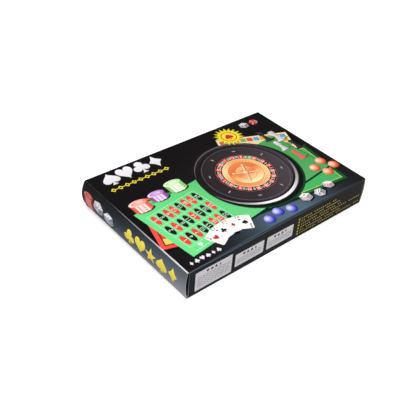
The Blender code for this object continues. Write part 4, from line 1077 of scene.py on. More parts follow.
    def back_print(self) -> Artwork:
        """Lays out the back wall: a long row of the four suits between thin yellow rules.

        Returns:
            The print.
        """
        wide, high = self.wall_size()
        art = Artwork.page(wide, high, Ink(("#110d0e", "#15181c"), (0, 0), (wide, 0)))
        for v in (7, high - 7):
            art.add(self.gold, oblong(wide - 40, 0.7), at=(wide / 2, v))
        art.middle()[0].row((SUITS * 4)[:14], (-133.25, 0), 20.5, 13, "#e5e1e4", "#b3242a")
        return art

    def bottom_print(self) -> Artwork:
        """Lays out the underside: a plain black panel with a suit in each corner of a thin frame.

        Returns:
            The print.
        """
        wide, high = self.length, self.depth - 2 * self.crease
        art = Artwork.page(wide, high, Ink(("#151213", "#181a1e"), (0, 0), (wide, high)), 14.0)
        middle = art.middle()[0]
        for tone, inset in (("#8d8148", 36), ("#161314", 37.6)):
            middle.add(tone, oblong(wide - inset, high - inset, 6))
        middle.corner_suits(15, wide / 2 - 34, high / 2 - 34, "#b9b4b4")
        return art

    def closure_print(self, side: int) -> Artwork:
        """Lays out a closure: chips and dice at its back half and five yellow figures at its near half.

        Args:
            side: 1 for the right end and -1 for the left.

        Returns:
            The print.
        """
        wide, inner = self.closure_width, self.shoulder
        foot, tip = self.hinge - self.tongue_hinge, self.hinge - self.shoulder_foot
        outline = [(0, 0), (wide, 0), (wide, tip), (wide - inner, tip), (wide - inner, foot)]
        outline += [(inner, foot), (inner, tip), (0, tip)]
        # A printed blend from black, lifted to pale grey towards the lower corner where u is greatest, the
        # near corner of the left end, as painted reflection of the white floor.
        codes = ("#110f11", "#141417", "#1b1e22", "#2c3239", "#454c56", "#5c6069", "#7c7d85", "#9a99a0")
        art = Artwork(outline, Ink(codes, (0, 0), (44.7, 116.3)), 3.4, 3.0)
        scene = TopScene(art)
        scene.stack((17, 15), 11.0, 5, ("#d98078", "#a8352f", "#6d201e"))
        ivory = ("#e6e9ee", "#b7bdc6", "#8b929c")
        scene.cube((42, 21), 12.5, 14, ivory, "#a8352f", 5, 3, 1)
        scene.cube((67, 25), 12.5, -12, ivory, "#1d1a1c", 2, 6, 4)
        gold = Ink(("#f2e35c", "#d8c33a"), (0, 10), (0, 34))
        art.add(gold, star(12.6, 5.0, 5), at=(163, 22.5))
        row = Layer(art, (0, 22))
        row.row((Suit.CLUB, Suit.HEART), (116, 0), 24, 24, gold)
        row.row((Suit.SPADE, Suit.DIAMOND), (186, 0), 23, 24, gold)
        for i in range(18):
            art.add("#b9bcc0", oblong(3.2, 0.9), at=(128 + 5 * i, 38.6))
        if side < 0:
            self.worn_edge(art, (wide, 0), (70, 0), 0.9, (0, 1), 0.6)
        else:
            self.worn_edge(art, (0, 0), (60, 0), 0.8, (0, 1))
        self.worn_edge(art, (wide, tip), (wide, 8), 0.5, (-1, 0))
        return art

    def knuckle(
        self, name: str, start: Sequence[float], end: Sequence[float], inks: Sequence[str], rounds: int = 12
    ) -> Thing:
        """Makes a round crease between two panels, that stays closed at any fold.

        Args:
            name: The piece's name.
            start: One end of the crease's axis.
            end: The other end.
            inks: Colours along the crease.
            rounds: Its sides; a whole number of them fits into the angle that its panel turns by.

        Returns:
            The object.
        """
        first, last = Vector(start), Vector(end)
        axis = (last - first).normalized()
        aside = axis.orthogonal().normalized()
        other = axis.cross(aside)
        blend, spans = Ink(tuple(inks)), 24
        points, faces, shares = [], [], []
        for i in range(spans + 1):
            for a in [tau * k / rounds for k in range(rounds)]:
                out = (aside * cos(a) + other * sin(a)) * self.board / 2
                points.append((first.lerp(last, i / spans) + out) * MM)
        for i in range(spans):
            for k in range(rounds):
                j = (k + 1) % rounds
                faces.append((i * rounds + k, i * rounds + j, (i + 1) * rounds + j, (i + 1) * rounds + k))
                shares += [i, i, i + 1, i + 1]
        for i in (0, spans):
            faces.append(tuple(i * rounds + k for k in range(rounds))[:: 1 if i else -1])
            shares += [i] * rounds
        piece = new_piece(name, points, faces, (CREASED_PRINT,), smooth=True)
        paint(piece, [blend.colour(share / spans, 0) for share in shares])
        return piece

    def flap_outline(self) -> list[Point]:
        """Outline of a dust flap in reach and height.

        Returns:
            The outline, from the foot of the crease round the tip to the top of the crease.
        """
        foot, top = self.foot + self.flap_room[0], self.height - self.board - self.flap_room[1]
        radius, steps, corners = self.flap_corner, 10, []
        for sign, base, slope in ((-1, foot, self.flap_slopes[0]), (1, top, self.flap_slopes[1])):
            rise = slope * self.flap_reach + radius * (hypot(1, slope) - slope)
            middle, turn = (self.flap_reach - radius, base - sign * rise), 90 - degrees(atan(slope))
            arc = [turned_point((radius, 0), middle, sign * turn * i / steps) for i in range(steps + 1)]
            corners += arc[::sign]
        return [(0, foot), *corners, (self.flap_nick, top), (0, top)]

    def build_sleeve(self) -> None:
        """Makes the four panels, the glue lap and the creases between them."""
        half_depth, deep = self.depth / 2 - self.crease, self.depth / 2
        wall_foot = self.crease + self.straight
        wall_top = self.height - wall_foot
        top_end, wall_end = self.top_reach - self.turning_room, self.wall_reach - self.turning_room
        for name, art, origin, *axes in (
            ("sleeve_top", self.top_print(), (-top_end, half_depth, self.height), RIGHT, FRONT, DOWN),
            ("sleeve_front", self.front_print(), (-wall_end, -deep, wall_top), RIGHT, DOWN, BACK),
            ("sleeve_back", self.back_print(), (wall_end, deep, wall_top), LEFT, DOWN, FRONT),
            ("sleeve_bottom", self.bottom_print(), (-self.length / 2, -half_depth, 0), RIGHT, BACK, UP),
        ):
            sheet = PrintedSheet(name, art, flat_place(origin, *axes), self.board)
            mount(sheet.build(), "carton", "printed_board", "carton_sleeve")
        reach, gap = self.lap_reach, self.glue_gap
        origin = (reach, deep - self.board - gap, self.height - self.board - gap)
        art = Artwork.page(2 * reach, self.lap, self.black)
        lap = PrintedSheet("glue_lap", art, flat_place(origin, LEFT, DOWN, FRONT), self.board - 2 * gap)
        mount(lap.build(), "carton", "plain_board", "carton_sleeve")
        half, sides = self.length / 2, 18
        bends = [self.crease * pi / 2 * k / 5 for k in range(1, 6)]
        across = [0, *bends, bends[-1] + self.straight]
        outline = [(u, -half) for u in across] + [(u, half) for u in reversed(across)]
        # Painted highlight: the top creases' ink is paler, more so near the left corner. The bottom creases
        # are painted near black as shade where the carton sits on the floor.
        crease_highlight = Ink(("#565e68", "#454b53", "#37393e"), (0, -half), (0, half))
        for wall_name, wall in self.walls:
            for level_name, level, ink in (("top", 1, crease_highlight), ("bottom", -1, "#0d0b0c")):
                art = Artwork(outline, ink, self.length, self.length / sides + 0.1, creases=bends)
                art.samples += [(u, self.length * i / sides - half) for u in bends for i in range(1, sides)]
                name, place = f"{wall_name}_{level_name}_crease", partial(self.crease_point, wall, level)
                sheet = PrintedSheet(name, art, place, self.board, CREASED_PRINT, smooth=True)
                mount(sheet.build(), "carton", "printed_board", "carton_sleeve")

    def build_end(self, name: str, side: int) -> None:
        """Makes one end's closure, tongue, dust flaps and the creases that they hang on.

        Args:
            name: The end's name, left or right.
            side: -1 for the left end and 1 for the right.
        """
        half, inner = self.closure_width / 2, self.closure_width / 2 - self.shoulder
        reach = inner - self.tongue_room
        edge = [(reach * wide, self.tongue_length * long) for long, wide in self.tongue_taper]
        outline = [(half + u, v) for u, v in edge] + [(half - u, v) for u, v in reversed(edge)]
        for kind, art, point, node in (
            ("closure", self.closure_print(side), self.closure_point, "_end_closure"),
            ("tongue", Artwork(outline, self.black, 3.6, 3.0), self.tongue_point, "_tuck_tongue"),
        ):
            sheet = PrintedSheet(f"{name}_{kind}_board", art, partial(point, side), self.board, smooth=True)
            mount(sheet.build(), f"{name}_{kind}", "printed_board", name + node)
        axis_x, axis_y = self.flap_axis
        for wall_name, wall in self.walls:
            flap_name = f"{name}_{wall_name}"
            # The flap stands across its end, its print towards the closure.
            origin = (side * (axis_x + self.board / 2), wall * axis_y, 0)
            place = flat_place(origin, (0, -wall, 0), UP, (-side, 0, 0))
            art = Artwork(self.flap_outline(), self.black, 9.0)
            flap = PrintedSheet(flap_name + "_flap_board", art, place, self.board)
            mount(flap.build(), flap_name + "_flap", "printed_board", flap_name + "_dust_flap")
            levels = (self.crease_room, self.height - self.crease_room)
            ends = [(side * axis_x, wall * axis_y, level) for level in levels]
            # Painted highlight: the left end's front flap crease, at the near corner, is pale blue-grey; the
            # other flap creases are plain.
            tones = ("#8fa0ac", "#6d7b86", "#30363c") if wall < 0 and side < 0 else ("#2b292b", "#2b292b")
            mount(self.knuckle(flap_name + "_flap_crease", *ends, tones), "carton", "printed_board")
        # The closure creases run pale at the front and dark at the back; on the left end the white front end
        # carries on the pale line of the top and the closure.
        x = side * self.top_reach
        worn = ("#e9eaea", "#cfd1d3", "#8d8f93", "#3f4043", "#222021", "#222021")
        tones = worn if side < 0 else ("#5a5758", "#2c292a", "#222021")
        crease = self.knuckle(name + "_closure_crease", (x, -half, self.hinge), (x, half, self.hinge), tones)
        mount(crease, "carton", "printed_board")
        ends = (x, -inner + 0.4, self.tongue_hinge), (x, inner - 0.4, self.tongue_hinge)
        # The tongue turns by 18 degrees, one of twenty sides.
        crease = self.knuckle(name + "_tongue_crease", *ends, ("#4b484a", "#2b292b", "#3a3739"), 20)
        mount(crease, name + "_closure", "printed_board")

    def build(self) -> None:
        """Makes the whole carton."""
        self.build_sleeve()
        self.build_end("left", -1)
        self.build_end("right", 1)


@dataclass
class TopScene:
    """The printed pictures of the games: a wheel seen from above, felts, boards, chips and dice."""

    art: Artwork
    wheel: Point = (204.0, 119.0)
    radius: float = 79.0

    def boards(self) -> None:
        """The track board, the chequered board and two felts, lying across each other."""
        art = self.art
        art.add("#0a0809", oblong(132, 92), at=(264, 92), turn=22)
        Layer(art, (264, 86), 22).track(132, 90, 10, 10, 6)
        board = Layer(art, (66, 146), 16)
        board.add("#0c0a0b", oblong(108, 108), at=(1, 4))
        board.add(Ink(("#f2554f", "#d93c36"), (10, 100), (130, 200)), oblong(108, 108))
        board.chequers(11.5, "#e0483c", "#d6cf62")
        felt = Layer(art, (180, 152), 6)
        felt.add("#10231a", oblong(296, 102), at=(1, 4))
        felt.add(Ink(("#2c7a41", "#2f8a49", "#1c4f2c"), (30, 160), (330, 150)), oblong(294, 100))
        felt.add("#c9d36c", oblong(282, 90))
        felt.add(Ink(("#4fbb68", "#45ad60"), (30, 160), (330, 150)), oblong(280, 88))
        felt = Layer(art, (166, 142), -7)
        felt.add("#12251b", oblong(300, 112), at=(1, 3.5))
        felt.add(Ink(("#4c9a52", "#55ab62", "#65cb7c", "#6edb88"), (290, 60), (60, 210)), oblong(300, 112))
        boxes = Layer(felt, (-96, 0))
        boxes.betting_boxes((11.2, 27), 8, "#cdeed2", "#1d1a1c", "#e8453f")
        for x, kind in ((-30, Suit.HEART), (0, Suit.CLUB), (30, Suit.DIAMOND)):
            boxes.add("#cdeed2", oblong(28, 0.7), at=(x, 51))
            boxes.add("#eef7ee", *kind.outlines(7.5), at=(x, 46))

    def crescent(self, reach: float, width: float, start: float, end: float, ink: Ink | str) -> None:
        """Draws a curved gleam along the wheel's rim.

        Args:
            reach: The rim's radius.
            width: The gleam's greatest width.
            start: Angle where it begins.
            end: Angle where it ends.
            ink: Its ink.
        """
        shares = [i / 40 for i in range(41)]
        inner = [(reach - max(width * sin(pi * s) ** 0.8, 0.02), start + (end - start) * s) for s in shares]
        points = [ray(reach, start + (end - start) * s) for s in shares]
        points += [ray(r, a) for r, a in reversed(inner)]
        self.art.add(ink, points, at=self.wheel)

    def roulette(self) -> None:
        """The wheel, from its shadow up to the turret."""
        art, (u, v), radius = self.art, self.wheel, self.radius
        wheel = Layer(art, self.wheel)
        for tone, grow, x, y in (("#1b3a26", 3.5, 3.0, 6.0), ("#0d130f", 1.5, 2.2, 4.6)):
            wheel.add(tone, oval(radius + grow, 90), at=(x, y))
        grey = ("#4a4347", "#2d2729", "#1d191a", "#2f292c", "#4a4347")
        wheel.add(Ink(grey, (u, v), (u + 1, v + 0.5), Blend.SWEEP), oval(radius, 120))
        gleam = ("#6a6367", "#b5afb3", "#f6f4f5", "#fbfafa", "#a59fa3", "#5c5559")
        self.crescent(radius - 1.4, 5.2, 4, 168, Ink(gleam, (u + 86, v), (u - 86, v)))
        self.crescent(radius - 6.4, 2.4, 12, 160, "#0f0c0d")
        self.crescent(radius - 1.4, 2.4, 200, 330, "#5f585c")
        for ink, inset in (
            ("#110e0f", 8.2),
            (Ink(grey, (u, v), (u + 0.6, v + 1), Blend.SWEEP), 9.0),
            ("#6f686c", 12.0),
            (Ink(("#2a2426", "#352e32", "#4c4449"), (u - 70, v - 30), (u + 70, v + 30)), 12.6),
        ):
            wheel.add(ink, oval(radius - inset, 110))
        for share in (8, 14, 20, 30, 50, 56, 62):
            art.samples += [(u + x, v + y) for x, y in oval(share, 60)]
        for i in range(8):
            along, across = (3.8, 1.3) if i % 2 else (1.3, 3.8)
            angle = 45 * i + 22.5
            lozenge = [(along, 0), (0, across), (-along, 0), (0, -across)]
            wheel.add("#a7a0a4", lozenge, at=ray(57, angle), turn=angle)
        for tone, reach in (("#8a6a44", 46.6), ("#140f10", 45.8)):
            wheel.add(tone, oval(reach, 90))
        Layer(wheel, (0, 0), -40).pockets(36.6, 45.2, 4.4, ("#4fae62", "#1c1819", "#e2403a"))
        wheel.add("#f3d29a", oval(36.2, 90))
        gold = ("#f7cf94", "#f0a35e", "#e08a4a", "#f9dca6", "#eda45f", "#f4bd7c", "#f7cf94")
        wheel.add(Ink(gold, (u, v), (u + 1, v + 0.7), Blend.SWEEP), oval(35.0, 90))
        for i in range(len(POCKETS)):
            start = 360 * i / len(POCKETS)
            wheel.add("#c98446", band(27.5, 34.2, start - 0.45, start + 0.45, 1))
        for tone, reach in (
            ("#c9783f", 27.4),
            (Ink(("#e8854e", "#e2713f", "#f6b877", "#fce6b4"), (u, v - 26), (u, v + 26)), 26.6),
            ("#d07a44", 16.8),
            (Ink(("#f6c083", "#e67c48", "#f8cf92"), (u, v - 16), (u, v + 16)), 16.0),
        ):
            wheel.add(tone, oval(reach, 60))
        for angle in (24, 114, 204, 294):
            middle = ray(9.5, angle)
            wheel.add("#8a4a26", oblong(19, 2.4, 0.9), at=(middle[0] + 0.6, middle[1] + 1.1), turn=angle)
            sides = [turned_point((0, 1.2 * way), (u + middle[0], v + middle[1]), angle) for way in (-1, 1)]
            wheel.add(Ink(("#fff0cf", "#e59a5e"), *sides), oblong(19, 2.3, 1.0), at=middle, turn=angle)
            tip = turned_point((19, 0), (u, v), angle)
            art.ball(tip, 2.6, "#fff6e2", "#f0b67c", "#d8844a")
        art.ball((u, v), 4.6, "#fff8ea", "#f6c78c", "#b9622f")

    def ornaments(self) -> None:
        """The row of suits with its yellow border, the burst, the corner's dice and small suits."""
        white = Ink(("#f1eef0", "#d8d4d8"), (20, 4), (20, 34))
        row = Layer(self.art, (0, 0))
        row.row(SUITS, (31, 18.5), 26.5, 29, white)
        row.row((SUITS[::-1] * 2)[:6], (14, 224), 9, 7.4, "#e5e1e4")
        for i in range(9):
            for tone, size in (("#e2cf3f", 4.6), ("#14110f", 2.0)):
                row.add(tone, oval(size, 4), at=(20 + 11.6 * i, 43))
            if i < 8:
                row.add("#e2cf3f", oval(1.1, 10), at=(25.8 + 11.6 * i, 43))
        burst = Layer(self.art, (248, 30))
        burst.add("#8d7f2a", star(25.0, 16.5, 18), at=(0.9, 1.4))
        glow = Ink(("#fff27a", "#f0e03f", "#d9c52e"), (248, 30), (273, 30), Blend.ROUND)
        burst.add(glow, star(25.0, 16.5, 18))
        burst.add("#cf2f2b", oval(13.4, 40))
        burst.add("#f0e03f", oval(11.7, 40))
        burst.add("#cf2f2b", *Suit.SPADE.outlines(16))
        self.cube((292, 18), 9.0, 12, ("#e9e6e6", "#bdb8bb", "#8f8a8e"), "#201c1e", 5, 1, 4)
        self.cube((312, 19), 9.0, -16, ("#e0453e", "#b22c29", "#7d1c1c"), "#f3eee8", 2, 3, 6)

    def man(self, at: Point, size: float, lit: str, shade: str, rook: bool) -> None:
        """Draws a turned chessman in side view, with its shadow.

        Args:
            at: Its middle.
            size: Its height.
            lit: Its lit colour.
            shade: Its shaded colour.
            rook: Whether it is a rook and not a pawn.
        """
        half = [(0.27, 0.5), (0.27, 0.42), (0.19, 0.36), (0.11, 0.12), (0.10, -0.10), (0.18, -0.14)]
        tower = [(0.18, -0.19), (0.16, -0.24), (0.17, -0.50)]
        head = [(0.18, -0.19), (0.08, -0.22), (0.16, -0.30), (0.16, -0.40), (0.08, -0.49)]
        half += tower if rook else head
        outline = [(x * size, y * size) for x, y in half] + [(-x * size, y * size) for x, y in reversed(half)]
        foot = 0.5 * size
        shadow = [(x + 0.4 * (foot - y) + 1, foot - 0.16 * (foot - y) + 1) for x, y in outline]
        man = Layer(self.art, at)
        man.add("#4a3a26", shadow)
        man.add(Ink((lit, lit, shade), (at[0] - size * 0.2, at[1]), (at[0] + size * 0.25, at[1])), outline)
        if rook:
            for x in (-0.09, 0.09):
                man.add(shade, oblong(0.05 * size, 0.1 * size), at=(x * size, -0.46 * size))

    def cube(
        self, at: Point, size: float, turn: float, tones: Sequence[str], pips: str, *counts: int
    ) -> None:
        """Draws a die seen from above one corner.

        Args:
            at: Its nearest corner's place.
            size: Length of an edge.
            turn: Degrees that it is turned by.
            tones: Colours of its top, left and right faces.
            pips: Colour of its pips.
            counts: Pips on its top, left and right faces.
        """
        west, east, south = (-0.87 * size, -0.42 * size), (0.87 * size, -0.42 * size), (0, 0.92 * size)
        die = Layer(self.art, at, turn)
        low_west, low_east = (west[0], west[1] + south[1]), (east[0], east[1] + south[1])
        shadow = (west, (0, -0.8 * size), east, low_east, south, low_west)
        die.add("#0d0b0c", [(x * 1.15 + 1.2, y * 1.1 + 1.6) for x, y in shadow])
        for (first, second), tone, count in zip(((west, east), (west, south), (east, south)), tones, counts):

            def on_face(outline: Iterable[Point]) -> list[Point]:
                """Puts shares of half the face's size, from its middle, on the slanted face."""
                shares = [((x + 1) / 2, (y + 1) / 2) for x, y in outline]
                return [(first[0] * s + second[0] * t, first[1] * s + second[1] * t) for s, t in shares]

            die.add(tone, on_face(oblong(2, 2)))
            reach = 0.34 if count == 1 else 0.21
            for x, y in PIPS[count]:
                die.add(pips, on_face([(x + a, y + b) for a, b in oval(reach, 12)]))

    def stack(self, at: Point, radius: float, count: int, tones: tuple[str, str, str]) -> None:
        """Draws a stack of gaming chips seen at a slant.

        Args:
            at: Middle of the top chip.
            radius: A chip's radius.
            count: Number of chips.
            tones: Lit, plain and shaded colours.
        """
        lit, body, shade = tones
        pitch, slant = 4.2, 0.42
        drop = count * pitch
        chips = Layer(self.art, at)
        near = oval(radius, 36, radius * slant)[:19]
        ends = (at[0] - radius, at[1]), (at[0] + radius, at[1])
        chips.add("#121011", oval(radius * 1.02, 36, radius * slant), at=(1.6, drop + 1.8))
        side = [(x, y + drop) for x, y in near] + [(-radius, 0), (radius, 0)]
        chips.add(Ink((shade, body, lit, body, shade), *ends), side)
        for i in range(1, count + 1):
            low = [(x, y + i * pitch) for x, y in near]
            chips.add(shade, low + [(x, y - 0.7) for x, y in reversed(low)])
        for a in (-0.52, -0.1, 0.42):
            sag = radius * slant * cos(a) + drop / 2
            chips.add(lit, oblong(3.2, drop), at=(radius * sin(a), sag))
        for ink, share in ((Ink((lit, body), *ends), 1), (shade, 0.68), (Ink((body, lit), *ends), 0.63)):
            chips.add(ink, oval(radius * share, 36, radius * share * slant))

    def loose_pieces(self) -> None:
        """The chips, cards, balls, dice and chessmen round the wheel."""
        self.stack((30, 86), 14.5, 4, ("#ffdcd2", "#fb8272", "#c14a3e"))
        self.stack((63, 83), 13.5, 3, ("#efd3f6", "#b070c2", "#74408a"))
        self.stack((97, 76), 14.5, 4, ("#f0ffe6", "#b5e59b", "#74b45c"))
        for u, v, turn, suit, rank in (
            (72, 205, -27, Suit.HEART, "9"),
            (89, 199, -9, Suit.CLUB, "7"),
            (107, 198, 9, Suit.DIAMOND, "10"),
            (124, 203, 27, Suit.SPADE, "8"),
        ):
            Layer(self.art, (u, v), turn).card(suit, rank, 20)
        for u, v in ((299, 171), (320, 163), (309, 189), (330, 181)):
            self.art.ball((u, v), 8.8, "#ffe9dc", "#fbb798", "#ee7044", "#a93a1c")
        for u, v in ((156, 219), (177, 214), (198, 220)):
            self.art.ball((u, v), 8.8, "#f1efff", "#a9a6f6", "#4f50c8", "#22236f")
        white, red, black = ("#f2eff0", "#cfcbce", "#a7a2a6"), "#c8262a", "#1d1a1c"
        self.cube((234, 213), 10.5, 8, white, red, 1, 4, 2)
        self.cube((259, 217), 10.0, -14, white, black, 6, 3, 5)
        self.cube((284, 211), 9.6, 24, white, red, 2, 6, 4)
        for man in (
            ((296, 62), 31, "#3a3538", "#0f0c0d", True),
            ((313, 72), 31, "#dcd8dc", "#8a858b", True),
            ((299, 96), 28, "#dcd8dc", "#8a858b", False),
            ((322, 106), 27, "#3a3538", "#0f0c0d", False),
            ((305, 130), 26, "#f0605b", "#b92d2a", False),
        ):
            self.man(*man)

    def draw(self) -> None:
        """Draws the picture from its ground up."""
        self.boards()
        self.roulette()
        self.ornaments()
        self.loose_pieces()


# The studio


@dataclass
class Studio:
    """The camera at the photograph's angle, the white floor and the soft lamps."""

    focal_pixels: float = 660.65
    azimuth: float = -43.10
    elevation: float = 38.36
    roll: float = 4.68
    distance: float = 0.98055
    shift: Point = (0.0288, 0.0243)
    target: Trio = (0.0, 0.0, 0.0225)
    sensor: float = 36.0
    page: int = 416
    room: float = 0.45
    room_tone: Trio = (0.55, 0.56, 0.58)
    # Each lamp's name, place, side and power in watts.
    lamps: tuple[tuple[str, Trio, float, float], ...] = (
        ("overhead_soft_box", (-0.25, -0.35, 1.5), 1.4, 24.0),
        ("left_fill", (-1.5, 0.2, 0.9), 0.9, 7.0),
    )
    # The floor turns up at its rim, so that low views also end on it.
    floor_profile: Points = ((0.5, 0), (2, 0), (4.4, 0), (5.2, 0.12), (5.8, 0.5), (6, 1.1))
    floor_drop: float = 0.0002

    def camera(self) -> None:
        """Sets the camera from the angles fitted to the carton's corners."""
        seat = Matrix.Translation(self.target)
        for angle, axis in ((self.azimuth, "Z"), (90 - self.elevation, "X"), (self.roll, "Z")):
            seat @= Matrix.Rotation(radians(angle), 4, axis)
        data = bpy.data.cameras.new("photograph_view")
        data.sensor_width = self.sensor
        data.lens = self.focal_pixels / self.page * self.sensor
        data.clip_start, data.clip_end = 0.01, 20
        camera = bpy.data.objects.new("photograph_view", data)
        bpy.context.scene.collection.objects.link(camera)
        camera.matrix_world = seat @ Matrix.Translation((-self.shift[0], -self.shift[1], self.distance))
        bpy.context.scene.camera = camera

    def lamp(self, name: str, place: Sequence[float], size: float, power: float) -> None:
        """Hangs a square soft box that faces the carton.

        Args:
            name: Its name.
            place: Where it hangs.
            size: Its side.
            power: Its power in watts.
        """
        data = bpy.data.lights.new(name, "AREA")
        data.size, data.energy = size, power
        lamp = bpy.data.objects.new(name, data)
        lamp.location = place
        lamp.rotation_euler = (-Vector(place)).to_track_quat("-Z", "Y").to_euler()
        bpy.context.scene.collection.objects.link(lamp)

    def build(self) -> None:
        """Makes the floor, the lamps and the dim room, and sets the view."""
        self.camera()
        points, steps = [(0, 0, 0)], 48
        for radius, height in self.floor_profile:
            points += [(x, y, height) for x, y in oval(radius, steps)]
        faces = [(0, 1 + i, 1 + (i + 1) % steps) for i in range(steps)]
        for k in range(len(self.floor_profile) - 1):
            low, high = 1 + steps * k, 1 + steps * (k + 1)
            for i in range(steps):
                j = (i + 1) % steps
                faces.append((low + i, high + i, high + j, low + j))
        paper = StudioPaper("white seamless paper, matt", Grain(1.0), Grain(1.0))
        floor = new_piece("floor", points, faces, (paper,), smooth=True)
        floor.location.z = -self.floor_drop
        world = bpy.data.worlds.new("dim room")
        bpy.context.scene.world = world
        world.use_nodes = True
        tree = world.node_tree
        tree.nodes.clear()
        room = add_node(tree, "Background", {"Color": (*self.room_tone, 1), "Strength": self.room})
        add_node(tree, "OutputWorld", {"Surface": room})
        for lamp in self.lamps:
            self.lamp(*lamp)
        bpy.context.scene.view_settings.view_transform = "Standard"


# What the carton holds


def node_span(name: str) -> tuple[Vector, Vector]:
    """Gives the low and high corner of a CAD node, in millimetres."""
    low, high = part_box(name)
    return low / MM, high / MM


@dataclass
class TableSheets:
    """The felt betting mat and the two boards, each folded once under the tray."""

    mat_thickness: float = 0.55
    board_thickness: float = 0.6
    bends: int = 6
    felt_ground: str = "#1f7a3d"
    felt_line: str = "#e9efe4"
    red: str = "#c62f2c"
    black: str = "#201c1e"

    def mat_print(self, art: Artwork) -> None:
        """Screen prints the betting layout: 36 numbers, a zero and the outside boxes.

        Args:
            art: The open mat's print.
        """
        length, wide = art.corners()[1]
        line, cell, row = self.felt_line, 19.5, 30.0
        boxes = Layer(art, (52.0 + 6 * cell, 34.0 + 1.5 * row))
        boxes.betting_boxes((cell, row), 12, line, self.black, self.red)
        boxes.add(line, *figures("0", 15), at=(-6 * cell - 14, 0), turn=-90)
        for share in (2.4, 3.4):
            boxes.add(line, oblong(12 * cell + 0.9, 0.9), at=(0, row * share))
        for i in range(4):
            boxes.add(line, oblong(0.9, 1.9 * row), at=(cell * (4 * i - 6), 2.45 * row))
        inks = {Suit.DIAMOND: self.red, Suit.HEART: self.red, Suit.CLUB: self.black, Suit.SPADE: self.black}
        for i, kind in enumerate((Suit.DIAMOND, Suit.HEART, Suit.CLUB)):
            boxes.add(inks[kind], *kind.outlines(17), at=(cell * 4 * (i - 1), 1.95 * row))
        for i in range(6):
            spot, kind = (length - 60 - 42 * i, wide / 2), list(Suit)[i % 4]
            art.add(line, oval(17, 40), at=spot)
            art.add(self.felt_ground, oval(16.1, 40), at=spot)
            art.add(inks[kind], *kind.outlines(17), at=spot)

    def track_print(self, art: Artwork) -> None:
        """Prints a board for running round, with a sun on each leaf.

        Args:
            art: The open board's print.
        """
        board, length, wide = art.middle()
        board.track(length, wide, 17, 24, 8)
        for u in (-length / 4, length / 4):
            board.add("#c0592f", star(46, 20, 12), at=(u, 0))
            board.add("#efdcae", oval(18, 36), at=(u, 0))
            board.add("#c0592f", *Suit.CLUB.outlines(24), at=(u, 0))

    def chess_print(self, art: Artwork) -> None:
        """Prints a chequered board on one leaf and a board of long points on the other.

        Args:
            art: The open board's print.
        """
        board, length, _ = art.middle()
        dark, pale, cell = "#c6332c", "#e8d75c", 24.0
        Layer(board, (-length / 4, 0)).chequers(cell, dark, pale)
        leaf = Layer(board, (length / 4, 0))
        leaf.add("#7c1d19", oblong(258, 8 * cell + 8))
        leaf.add("#e2cf72", oblong(250, 8 * cell))
        for i in range(12):
            for way in (-1, 1):
                point = [(-9, 4 * cell * way), (9, 4 * cell * way), (0, 0.7 * cell * way)]
                leaf.add(dark if (i + (way > 0)) % 2 else "#3f7f58", point, at=((i - 5.5) * 20, 0))

    def leaf_point(self, low: Vector, high: Vector, *spot: float) -> Vector:
        """Runs along the upper leaf, round the fold and back along the lower leaf.

        Args:
            low: Low corner of the folded sheet.
            high: Its high corner.
            spot: Place along the open sheet and across it, and depth from its print.

        Returns:
            The point.
        """
        u, v, w = spot
        radius = (high.z - low.z) / 2
        straight, bend = high.x - low.x - radius, pi * radius
        angle = max(0.0, min(bend, u - straight)) / radius
        along = max(straight - u, u - straight - bend, 0.0)
        x = low.x + radius + along - (radius - w) * sin(angle)
        return Vector((x, high.y - v, low.z + radius + (radius - w) * cos(angle))) * MM

    def fold(self, name: str, node: str, slot: str, ground: str, finishes: Finishes, draw: Draw) -> None:
        """Makes a sheet in its node's place, folded once over its left edge with its print outside.

        Args:
            name: The piece's name.
            node: The CAD node that it stands for.
            slot: Name of its material slot.
            ground: Its ground ink.
            finishes: Those of its face, back and edge.
            draw: Draws on the whole open sheet, given its print.
        """
        low, high = node_span(node)
        wide, radius = high.y - low.y, (high.z - low.z) / 2
        straight, bend = high.x - low.x - radius, pi * radius
        length = 2 * straight + bend
        bends = [straight + bend * i / self.bends for i in range(self.bends + 1)]
        outline = [(0, 0), *((u, 0) for u in bends), (length, 0), (length, wide)]
        outline += [*((u, wide) for u in reversed(bends)), (0, wide)]
        art = Artwork(outline, ground, step=16.0, longest=60.0, creases=bends)
        draw(art)
        felt = finishes[0] is FELT
        thickness = self.mat_thickness if felt else self.board_thickness
        place = partial(self.leaf_point, low, high)
        piece = PrintedSheet(name, art, place, thickness, *finishes, back_ink="#e7e3da").build()
        mount(piece, "carton", slot, node)

    def build(self) -> None:
        """Makes the mat and both boards."""
        felt, board = (FELT, FELT, FELT), (MATT_PRINT, GREY_BACK, GREYBOARD_EDGE)
        self.fold("felt_mat", "betting_mat", "green_felt", self.felt_ground, felt, self.mat_print)
        self.fold("track_board_sheet", "track_game_board", "track_board", "#efdcae", board, self.track_print)
        self.fold("chequered_board_sheet", "chess_board", "chess_board", "#d8322c", board, self.chess_print)


